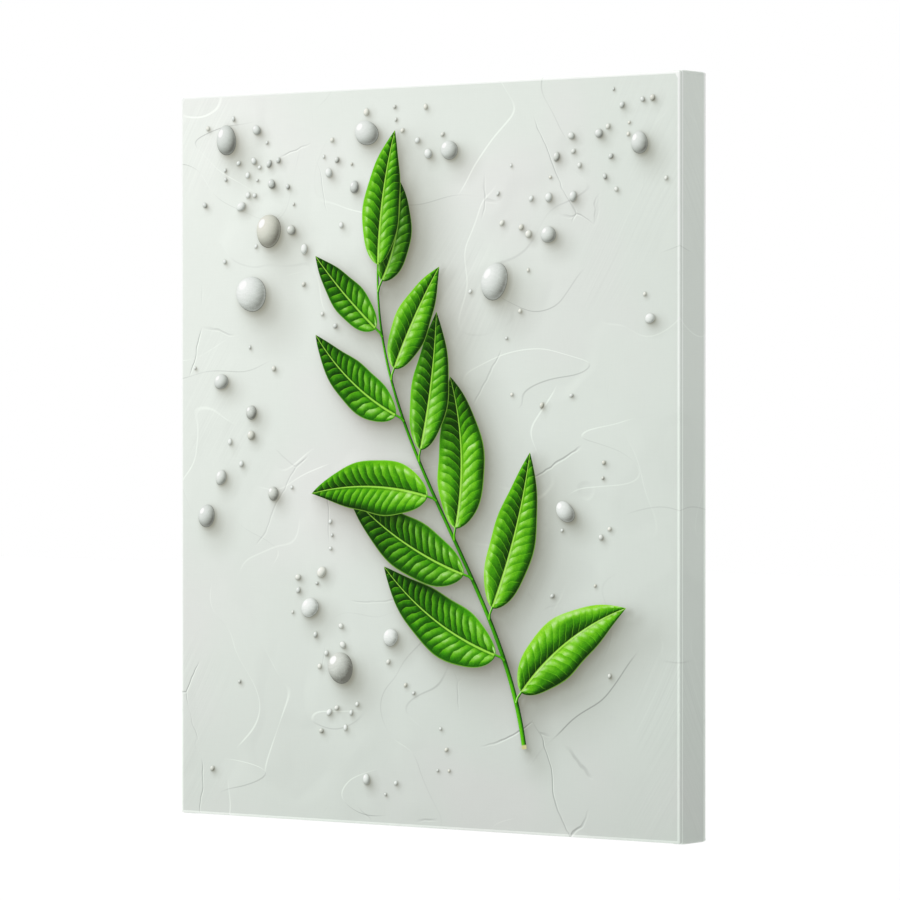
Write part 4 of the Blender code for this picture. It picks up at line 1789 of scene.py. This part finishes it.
    def slack(self, column: Column, edge: float) -> float:
        """How far the turned-in cloth stands off the bar.

        Args:
            column: the column.
            edge: how near it is to the cut edge, 1 at the edge.
        Returns:
            The height: the edge gapes between staples, and puckers run out from each staple.
        """
        places = self.staples[column.side]
        gap = min(abs(column.along - at) for at in places)
        half_pitch = (places[1] - places[0]) / 2
        gape = 0.5 - 0.5 * math.cos(math.pi * min(1.0, gap / half_pitch))
        aside = self.pucker_start + self.pucker_spread * edge
        ridge = math.exp(-(((gap - aside) / self.pucker_width) ** 2))
        fading = math.sin(math.pi * min(1.0, edge * 1.15))
        return self.billow * gape * edge * edge + self.pucker * ridge * fading

    def creased(self, column: Column, step: Step) -> float:
        """How a point lies in a fold, which sets the painted shade in the fold's valley and the lighter
        crown.

        Args:
            column: its column.
            step: its step.
        Returns:
            A number below 0 in the fold's valley, and above 0 on its crown.
        """
        if step.inner:
            return 0.0
        # the turned-in cloth at a corner lies in a fold that gets painted shade
        if column.corner:
            return -0.7 if step.inset > self.fold_radius else 0.0
        return column.crease * min(1.0, step.travelled / self.eased_over)

    def point(self, column: Column, step: Step) -> Triple:
        """A point of the cloth, in the picture's frame.

        Args:
            column: its column.
            step: its step.
        Returns:
            Its place.
        """
        half_x, half_z = self.half_x - step.inset, self.half_z - step.inset
        lift = self.lift(column, step)
        ragged = 0.0
        at_edge = step.inset > self.fold_radius + self.ragged_from * (self.turned_in - self.fold_radius)
        if at_edge and not column.corner:
            slow, fast = self.ragged_waves
            ragged = self.ragged * math.sin(column.along * slow) * math.sin(column.along * fast + 1)
        if column.corner:
            radius = self.corner_size(step.inset)
            sx, sz = (math.copysign(1, c) for c in column.out)
            x = sx * (half_x - radius) + column.out[0] * radius
            z = sz * (half_z - radius) + column.out[1] * radius + sz * lift * step.outward
        elif column.side.level:
            x = self.gathered(column, step)
            z = column.out[1] * (half_z + lift * step.outward - ragged)
        else:
            x = column.out[0] * (half_x + lift * step.outward - ragged)
            z = self.gathered(column, step)
        return x, self.front + step.depth + lift * step.backward, self.middle + z

    def seen(self, ring: list[Triple]) -> Array:
        """A ring's places as the front shows them."""
        return np.array([(x, z - self.middle) for x, _, z in ring])

    def mirrored(self, step: Step) -> float:
        """How far out on the print a step reads: past the fold the print runs back, as in a mirror."""
        turn = math.pi * self.fold_radius / 4
        return step.travelled if step.travelled < turn else 2 * turn - step.travelled

    def grid(self, gap: float) -> Array:
        """An even triangular grid on the front.

        Args:
            gap: from point to point.
        Returns:
            Its points.
        """
        half_x, half_z = self.half_x - self.grid_margin, self.half_z - self.grid_margin
        count = round(2 * half_x / gap)
        rows = round(2 * half_z / (gap * 0.866))
        points = []
        for row in range(rows + 1):
            z = -half_z + 2 * half_z * row / rows
            shift = (row % 2) * gap / 2
            points += [(-half_x + 2 * half_x * n / count + shift, z) for n in range(count + 1)]
        found = np.array(points)
        return found[np.abs(found[:, 0]) <= half_x]

    def rings_round(self, motif: Motif) -> list[Array]:
        """Rings of points round a motif, where its shadow changes fast.

        Args:
            motif: the motif.
        Returns:
            The rings.
        """
        outline = motif.outline()
        if isinstance(motif, Pebble):
            aways = (0.7, 1.5, 2.5, 3.8) if motif.small else (0.12, 0.3, 0.6, 1.0)
            size = MM if motif.small else motif.half_long
            centre = outline.mean(0)
            grown = [centre + (outline - centre) * (1 + away * size / motif.half_long) for away in aways]
            return [ring + SHADOW_FALL * away * size * 0.6 for ring, away in zip(grown, aways)]
        ahead = np.roll(outline, -1, axis=0) - np.roll(outline, 1, axis=0)
        right = np.stack([ahead[:, 1], -ahead[:, 0]], 1) / np.linalg.norm(ahead, axis=1)[:, None]
        return [outline + right * away for away in (1.6 * MM, 4.2 * MM)]

    def picture_points(self, motifs: list[Motif]) -> Array:
        """The front's inner points: the motifs' own, rings round them, and the grid.

        Args:
            motifs: the printed shapes.
        Returns:
            The points.
        """
        around = np.concatenate([ring for motif in motifs for ring in self.rings_round(motif)])
        for motif in motifs:
            near = motif.reached(around, 1 * MM)
            close = near[motif.depth(around[near]) > -0.8 * MM]
            around = np.delete(around, close, axis=0)
        limit = np.array((self.half_x, self.half_z)) - 4 * MM
        around = around[(np.abs(around) < limit).all(1)]
        own = [m.inner_points() for m in motifs]
        outlines = np.concatenate([m.outline() for m in motifs])
        kept = thinned(np.concatenate([*own, around]), outlines, self.point_gap)
        known = np.concatenate([outlines, kept])
        return np.concatenate([kept, thinned(self.grid(self.grid_gap), known, self.clear)])

    def front_patch(self, edge: Array, inner: Array, outlines: list[Array]) -> Patch:
        """Fills the front with triangles.

        Args:
            edge: the front's edge.
            inner: the points inside it.
            outlines: closed lines that the triangles' edges follow.
        Returns:
            The filling.
        """
        points, lines = [], []
        for loop in [edge, *outlines]:
            first = len(points)
            points += list(loop)
            lines += [(first + n, first + (n + 1) % len(loop)) for n in range(len(loop))]
        points += list(inner)
        made = delaunay_2d_cdt([Vector(p) for p in points], lines, [], 0, 1e-7, True)
        places, _, faces, origins = made[:4]
        found = {given: new for new, many in enumerate(origins) for given in many}
        return Patch(np.array([tuple(p) for p in places]), faces, [found[n] for n in range(len(edge))])

    def build(self, artwork: Artwork) -> bpy.types.Object:
        """Makes the cloth's mesh with all that its finishes read.

        Args:
            artwork: the picture's layout.
        Returns:
            The cloth.
        """
        rings = [[self.point(c, s) for c in self.columns] for s in self.steps]
        sheet = Sheet(self, self.seen(rings[0]))
        outlines = [m.outline() for m in artwork.motifs]
        outer = self.front_patch(sheet.edge, self.picture_points(artwork.motifs), outlines)
        inner = self.front_patch(self.seen(rings[-1]), self.grid(self.inner_grid_gap), [])
        sheet.add_patch(outer, self.front)
        last = sheet.add_rings(rings, outer.edge_ids)
        sheet.add_patch(inner, self.front + self.thickness, last)
        mesh = bpy.data.meshes.new("printed_cloth")
        mesh.from_pydata(sheet.points, [], sheet.faces)
        self.write_print(MeshTable(mesh), sheet, artwork)
        mesh.shade_smooth()
        mesh.set_sharp_from_angle(angle=math.radians(50))
        return add_object("printed_cloth", mesh)

    def write_print(self, table: MeshTable, sheet: Sheet, artwork: Artwork) -> None:
        """Writes what the finishes read, and which face has which finish.

        Args:
            table: the mesh's table.
            sheet: the cloth's points and faces.
            artwork: the picture's layout.
        """
        motifs = artwork.motifs
        flat = sheet.flat()
        travelled = np.array(sheet.travelled)
        to_edge = np.maximum((np.abs(sheet.edge).max(0) - np.abs(flat)).min(1), 0)
        table.write("print_place", np.insert(flat, 1, 0.0, axis=1))
        table.write("wrapped", np.where(travelled == 0, -to_edge, travelled))
        table.write("shade", artwork.shade_on(flat, motifs) * (travelled < 2 * MM))
        # how points lie in folds, for the painted shade in valleys and the lighter crowns
        table.write("crease", sheet.creases())
        middles = table.face_middles(flat)[: sheet.front_faces]
        owner = np.full(len(sheet.faces), -1)
        for number, motif in enumerate(motifs):
            near = motif.reached(middles, 0.0)
            owner[near[motif.depth(middles[near]) > 0]] = number
        self.write_motifs(table, artwork, owner, flat)
        slots = np.array([PrintSlot.GROUND if n < 0 else motifs[n].slot for n in owner], np.int32)
        slots[sheet.raw_faces] = PrintSlot.RAW
        table.mesh.polygons.foreach_set("material_index", slots)
        layer = table.mesh.uv_layers.new(name="OFBake")
        layer.uv.foreach_set("vector", sheet.bake_map().astype(np.float32).ravel())

    def write_motifs(self, table: MeshTable, artwork: Artwork, owner: Array, flat: Array) -> None:
        """Writes, for each corner of a motif's faces, where it lies on the motif and how it is lit.

        Args:
            table: the mesh's table.
            artwork: the picture's layout.
            owner: the number of each face's motif, or -1.
            flat: each point's place on the print.
        """
        corner_owner = owner[table.corner_face]
        places, lights, tones = (np.zeros((len(corner_owner), 3)) for _ in range(3))
        for number, motif in enumerate(artwork.motifs):
            mine = np.flatnonzero(corner_owner == number)
            if not len(mine):
                continue
            points = flat[table.corner_point[mine]]
            places[mine] = motif.places(points)
            lights[mine, :2] = motif.lights(points)
            above = [m for m in artwork.motifs[number + 1 :] if not isinstance(m, Pebble)]
            if not isinstance(motif, Pebble) and above:
                lights[mine, 2] = artwork.shade_on(points, above, 0.5)
            tones[mine] = motif.tone
        for name, values in (("motif_place", places), ("motif_light", lights), ("motif_tone", tones)):
            table.write(name, values, "CORNER")

    def finishes(self) -> list[Finish]:
        """The cloth's finishes.

        Returns:
            One for each slot, in the slots' order.
        """
        back_fold = self.deep - 2 * self.fold_radius + 0.5 * math.pi * self.fold_radius - 0.5 * MM
        ground = PlasterInk(
            "plaster_ink",
            half_width=self.half_x,
            half_height=self.half_z,
            back_fold=back_fold,
            bleed=back_fold + self.bleed,
        )
        shapes = [LeafInk("leaf_ink"), StemInk("stem_ink"), PebbleInk("pebble_ink")]
        return [ground, *shapes, RawCloth("raw_cloth")]

    def dress(self) -> bpy.types.Object:
        """Returns:
            The cloth.
        """
        edge = self.fold_radius
        piece = self.build(Artwork(self.half_x - edge, self.half_z - edge))
        for finish in self.finishes():
            piece.data.materials.append(finish.material())
        reach = max(s.travelled for s in self.steps if not s.inner)
        cut = (self.width - 2 * edge + 2 * reach, self.height - 2 * edge + 2 * reach)
        trimmed = cut[0] * cut[1] - 4 * reach * reach
        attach(piece, ROOT)
        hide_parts("canvas")
        bars = [f"bar_{side}" for side in Fittings.sides]
        return piece


# The wooden frame


@dataclass(frozen=True)
class PlanedPine(Finish):
    """Planed pine. The grain runs along one axis, and the tree's rings are round another line."""

    roughness: float = 0.55
    gloss: float = 0.35
    depth: float = 0.12 * MM
    upright: bool = False
    middle: float = 0.25  # from the picture's middle to the bar's own
    centre: float = 0.27  # from the frame's origin down to the picture's middle
    seed: float = 0.0
    pale: Colour = (0.730, 0.540, 0.320)
    late: Colour = (0.450, 0.245, 0.095)
    knot: Colour = (0.170, 0.075, 0.028)
    ring: float = 3.4 * MM
    ring_bend: float = 2.6 * MM  # how far the rings bend round a knot
    pith_aside: tuple[float, float] = (12 * MM, 30 * MM)  # the tree's middle is so far aside, give or take
    pith_away: float = 62 * MM  # and so far in front of the wall
    sway: tuple[float, float] = (34 * MM, 20 * MM)  # how far its line strays over the bar's length

    def paint(self, graph: Graph) -> Coat:
        """Draws rings round the tree's middle, fibres along them and a few knots.

        Args:
            graph: the material's nodes.
        Returns:
            The wood's colour and relief.
        """
        x, y, z = graph.split(graph.place())
        if self.upright:
            along, across = z, abs(x) - self.middle
        else:
            along, across = x, abs(z + self.centre) - self.middle
        place = graph.join(along + self.seed * 1.7, across + self.seed * 0.31, y)
        sway = graph.grain(place, (2.2, 9.0, 9.0)) - 0.5
        aside, spread = self.pith_aside
        over = across - (aside + spread * math.sin(self.seed * 5.1)) + sway * self.sway[0]
        down = y + self.pith_away + sway * self.sway[1]
        knots, round_knots = self.knots(graph, place)
        out = (over * over + down * down).of("SQRT") + round_knots * self.ring_bend
        uneven = graph.noise(graph.join(out * 160.0, 0.0, self.seed), 1.0, 1.0) * 2.4
        wave = (out / self.ring + uneven).of("FRACT")
        strong = graph.noise(graph.join(out * 240.0, 0.0, self.seed + 5.0), 1.0, 1.0) * 0.9 + 0.15
        late = wave.band(0.10, 0.88, 0.90, 1.0) * strong
        fibres = graph.grain(place, (11.0, 420.0, 420.0), 4.0, 0.6)
        streaks = graph.grain(place, (2.5, 70.0, 70.0), 3.0)
        share = late * 0.72 + (fibres - 0.5) * 0.62 + (streaks - 0.5) * 0.9 + (round_knots**3.0) * 0.35
        colour = graph.mix(share.within(0.0, 1.0), self.pale, self.late)
        colour = graph.mix(knots.rise(0.25, 0.75), colour, self.knot)
        colour = graph.vector("SCALE", colour, 0.84 + graph.grain(place, (5.0, 20.0, 20.0)) * 0.34)
        return Coat(colour, fibres * 0.8 - late * 0.4)

    def knots(self, graph: Graph, place: Socket) -> tuple[Term, Term]:
        """Where a few small knots are.

        Args:
            graph: the material's nodes.
            place: the place on the bar, whose X runs along the grain.
        Returns:
            1 at the knots' middles, and 1 in the wider places that the rings bend round.
        """
        uneven = graph.drift(graph.drift(place, 22.0, 3 * MM), 90.0, 1.2 * MM)
        cells = graph.cells(uneven, (6.5, 10.0, 10.0), "F1")
        distance = Term(graph, cells.outputs["Distance"])
        chance = graph.split(cells.outputs["Color"])[0].rise(0.60, 0.63)
        return distance.fall(0.022, 0.058) * chance, distance.fall(0.0, 0.22) * chance


@dataclass(frozen=True)
class SawnWood(Finish):
    """The keys' pale wood, left rough by the saw."""

    roughness: float = 0.7
    gloss: float = 0.3
    depth: float = 0.15 * MM
    strength: float = 0.7
    pale: Colour = (0.760, 0.610, 0.400)
    dark: Colour = (0.560, 0.400, 0.220)
    mark_gap: float = 1.1 * MM

    def paint(self, graph: Graph) -> Coat:
        """Draws fibres with fine saw marks across them.

        Args:
            graph: the material's nodes.
        Returns:
            The wood's colour and relief.
        """
        place = graph.drift(graph.place(), 60.0, 0.8 * MM)
        fibres = graph.grain(place, (160.0, 700.0, 160.0), 3.0, 0.6)
        rings = graph.grain(place, (30.0, 260.0, 30.0))
        x, _, z = graph.split(place)
        marks = ((x + z) * (2 * math.pi / self.mark_gap)).of("SINE") * 0.5 + 0.5
        share = fibres * 0.6 + rings * 0.6 - 0.25 + marks * 0.06
        return Coat(graph.mix(share.within(0.0, 1.0), self.pale, self.dark), fibres * 0.6 + marks * 0.35)


# The fixings


@dataclass(frozen=True)
class PlatedMetal(Finish):
    """Thin bright plating over pressed metal, dulled in patches and finely scratched."""

    metallic: float = 1.0
    depth: float = 0.02 * MM
    strength: float = 0.7
    bright: Colour = (0.76, 0.77, 0.78)
    dull: Colour = (0.50, 0.51, 0.53)
    smooth: float = 0.26
    worn: float = 0.48
    patch: float = 350.0

    def paint(self, graph: Graph) -> Coat:
        """Mottles the plating's colour and polish, and scratches it.

        Args:
            graph: the material's nodes.
        Returns:
            The metal's colour, relief and roughness.
        """
        place = graph.place()
        patches = graph.noise(place, self.patch, 3.0, 0.6).rise(0.30, 0.70)
        scratches = graph.grain(place, (240.0, 2600.0, 2600.0), 2.0, 0.7)
        colour = graph.mix(patches * 0.8, self.bright, self.dull)
        polish = patches * (self.worn - self.smooth) + self.smooth + (scratches - 0.5) * 0.12
        return Coat(colour, scratches * 0.6 + graph.noise(place, 900.0) * 0.4, polish)


@dataclass(frozen=True)
class SoftRubber(Finish):
    """The wall pads' soft dark rubber, with dust in its grain."""

    roughness: float = 0.8
    gloss: float = 0.3
    depth: float = 0.08 * MM
    strength: float = 0.8
    body: Colour = (0.045, 0.046, 0.050)
    dust: Colour = (0.16, 0.155, 0.145)

    def paint(self, graph: Graph) -> Coat:
        """Grains the rubber and dusts it.

        Args:
            graph: the material's nodes.
        Returns:
            The rubber's colour and relief.
        """
        place = graph.place()
        grain = graph.noise(place, 2200.0, 3.0, 0.6)
        dusty = graph.noise(place, 260.0, 3.0, 0.6).rise(0.45, 0.75) * grain
        return Coat(graph.mix(dusty * 0.7, self.body, self.dust), grain)


@dataclass
class Fittings:
    """What already has its shape as a solid: the bars, keys, staples, hanger and wall pads."""

    middle: float
    sides: tuple[str, ...] = ("top", "bottom", "left", "right")
    staple_steel: PlatedMetal = PlatedMetal(
        "staple_steel", bright=(0.60, 0.61, 0.63), dull=(0.36, 0.37, 0.39)
    )
    hanger_brass: PlatedMetal = PlatedMetal(
        "hanger_brass", bright=(0.82, 0.62, 0.30), dull=(0.60, 0.42, 0.17), smooth=0.22, patch=180.0
    )

    def pine(self, number: int) -> PlanedPine:
        """The pine of one bar.

        Args:
            number: the bar's place among the sides.
        Returns:
            Its finish.
        """
        side = self.sides[number]
        upright = side in ("left", "right")
        low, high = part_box(f"bar_{side}")
        across = (low.x + high.x) / 2 if upright else (low.z + high.z) / 2 - self.middle
        return PlanedPine(
            f"pine_{side}", upright=upright, middle=abs(across), centre=-self.middle, seed=number + 1.0
        )

    def dress(self, nodes: dict[str, bpy.types.Object]) -> list[bpy.types.Object]:
        """Gives each solid its finish.

        Args:
            nodes: the frame's solids by name.
        Returns:
            The solids that got one.
        """
        finishes = {f"bar_{side}": self.pine(number) for number, side in enumerate(self.sides)}
        finishes["key_"] = SawnWood("key_wood")
        finishes["staple_"] = self.staple_steel
        finishes["hanger"] = self.hanger_brass
        finishes["wall_pad_"] = SoftRubber("pad_rubber")
        dressed = []
        for start, finish in finishes.items():
            material = finish.material()
            mine = [node for name, node in nodes.items() if name.startswith(start)]
            for slot in (slot for node in mine for slot in node.material_slots):
                slot.material = material
            dressed += mine
        return dressed


# The studio


@dataclass(frozen=True)
class StudioFloor(Finish):
    """The plain pale floor."""

    roughness: float = 0.9
    gloss: float = 0.1
    pale: Colour = (0.90, 0.90, 0.90)

    def paint(self, graph: Graph) -> Coat:
        """Gives the floor one colour."""
        return Coat(self.pale)


@dataclass
class Studio:
    """The floor, the lights and the camera."""

    floor_height: float
    front_middle: Vector
    floor_half: float = 12.0
    sky: Colour = (1.0, 1.0, 1.0)  # what the camera sees
    sky_light: Colour = (0.42, 0.42, 0.42)  # what the things get
    camera_offset: Triple = (2.2717, -3.0678, 0.0274)
    turned: float = 36.16
    tipped: float = 0.336
    lens: float = 186.24

    def set_up(self) -> None:
        """Builds everything that isn't part of the picture."""
        self.floor()
        self.world()
        self.sun("key_light", (-0.47, -0.62, 0.63), 0.42, 50.0)
        self.sun("top_light", (0.0, 0.05, 1.0), 0.47, 60.0)
        self.camera()
        bpy.context.scene.view_settings.view_transform = "Standard"

    def floor(self) -> None:
        """A wide plain floor."""
        mesh = bpy.data.meshes.new("floor")
        half = self.floor_half
        corners = ((-half, -half), (half, -half), (half, half), (-half, half))
        mesh.from_pydata([(x, y, self.floor_height) for x, y in corners], [], [(0, 1, 2, 3)])
        mesh.materials.append(StudioFloor("studio_floor").material())
        obj = add_object("floor", mesh)

    def world(self) -> None:
        """White to look at, and a softer light on the things in it."""
        world = bpy.data.worlds.new("studio")
        world.use_nodes = True
        graph = Graph(world.node_tree)
        seen = graph.fed(world.node_tree.nodes["Background"], Color=self.sky)
        lit = graph.fed(graph.node("Background"), Color=self.sky_light)
        looking = graph.node("LightPath").outputs["Is Camera Ray"]
        either = graph.filled(graph.node("MixShader"), looking, lit.outputs[0], seen.outputs[0])
        graph.fed(world.node_tree.nodes["World Output"], Surface=either.outputs[0])
        bpy.context.scene.world = world

    def sun(self, name: str, towards: Triple, strength: float, spread: float) -> None:
        """A soft light from far away.

        Args:
            name: its name.
            towards: the way from the picture to the light.
            strength: its strength on a face turned to it, in units of the world's light.
            spread: its width in degrees.
        """
        data = bpy.data.lights.new(name, "SUN")
        data.energy = strength * math.pi
        data.angle = math.radians(spread)
        obj = add_object(name, data)
        obj.rotation_euler = Vector(towards).to_track_quat("Z", "Y").to_euler()

    def camera(self) -> None:
        """The camera, at the photograph's viewing angle."""
        data = bpy.data.cameras.new("camera")
        data.lens = self.lens
        data.sensor_width = 36.0
        data.clip_end = 100.0
        obj = add_object("camera", data)
        obj.location = self.front_middle + Vector(self.camera_offset)
        obj.rotation_euler = Euler((math.radians(90 - self.tipped), 0.0, math.radians(self.turned)))
        bpy.context.scene.camera = obj


def main() -> None:
    """Builds the studio, dresses the solids, hangs the cloth on them and reports each piece."""
    logging.basicConfig(level=logging.INFO, format="%(name)s: %(message)s")
    low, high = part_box("canvas")
    front_middle = Vector(((low.x + high.x) / 2, low.y, (low.z + high.z) / 2))
    Studio(low.z - HANGING_HEIGHT, front_middle).set_up()
    pieces = Fittings(front_middle.z).dress(frame["nodes"])
    pieces.append(WrappedCloth.over_frame().dress())
    for piece in pieces:
        finishes = ", ".join(slot.material.name for slot in piece.material_slots)
        LOG.info("%s: %d faces in %s", piece.name, len(piece.data.polygons), finishes)


if __name__ == "__main__":
    main()
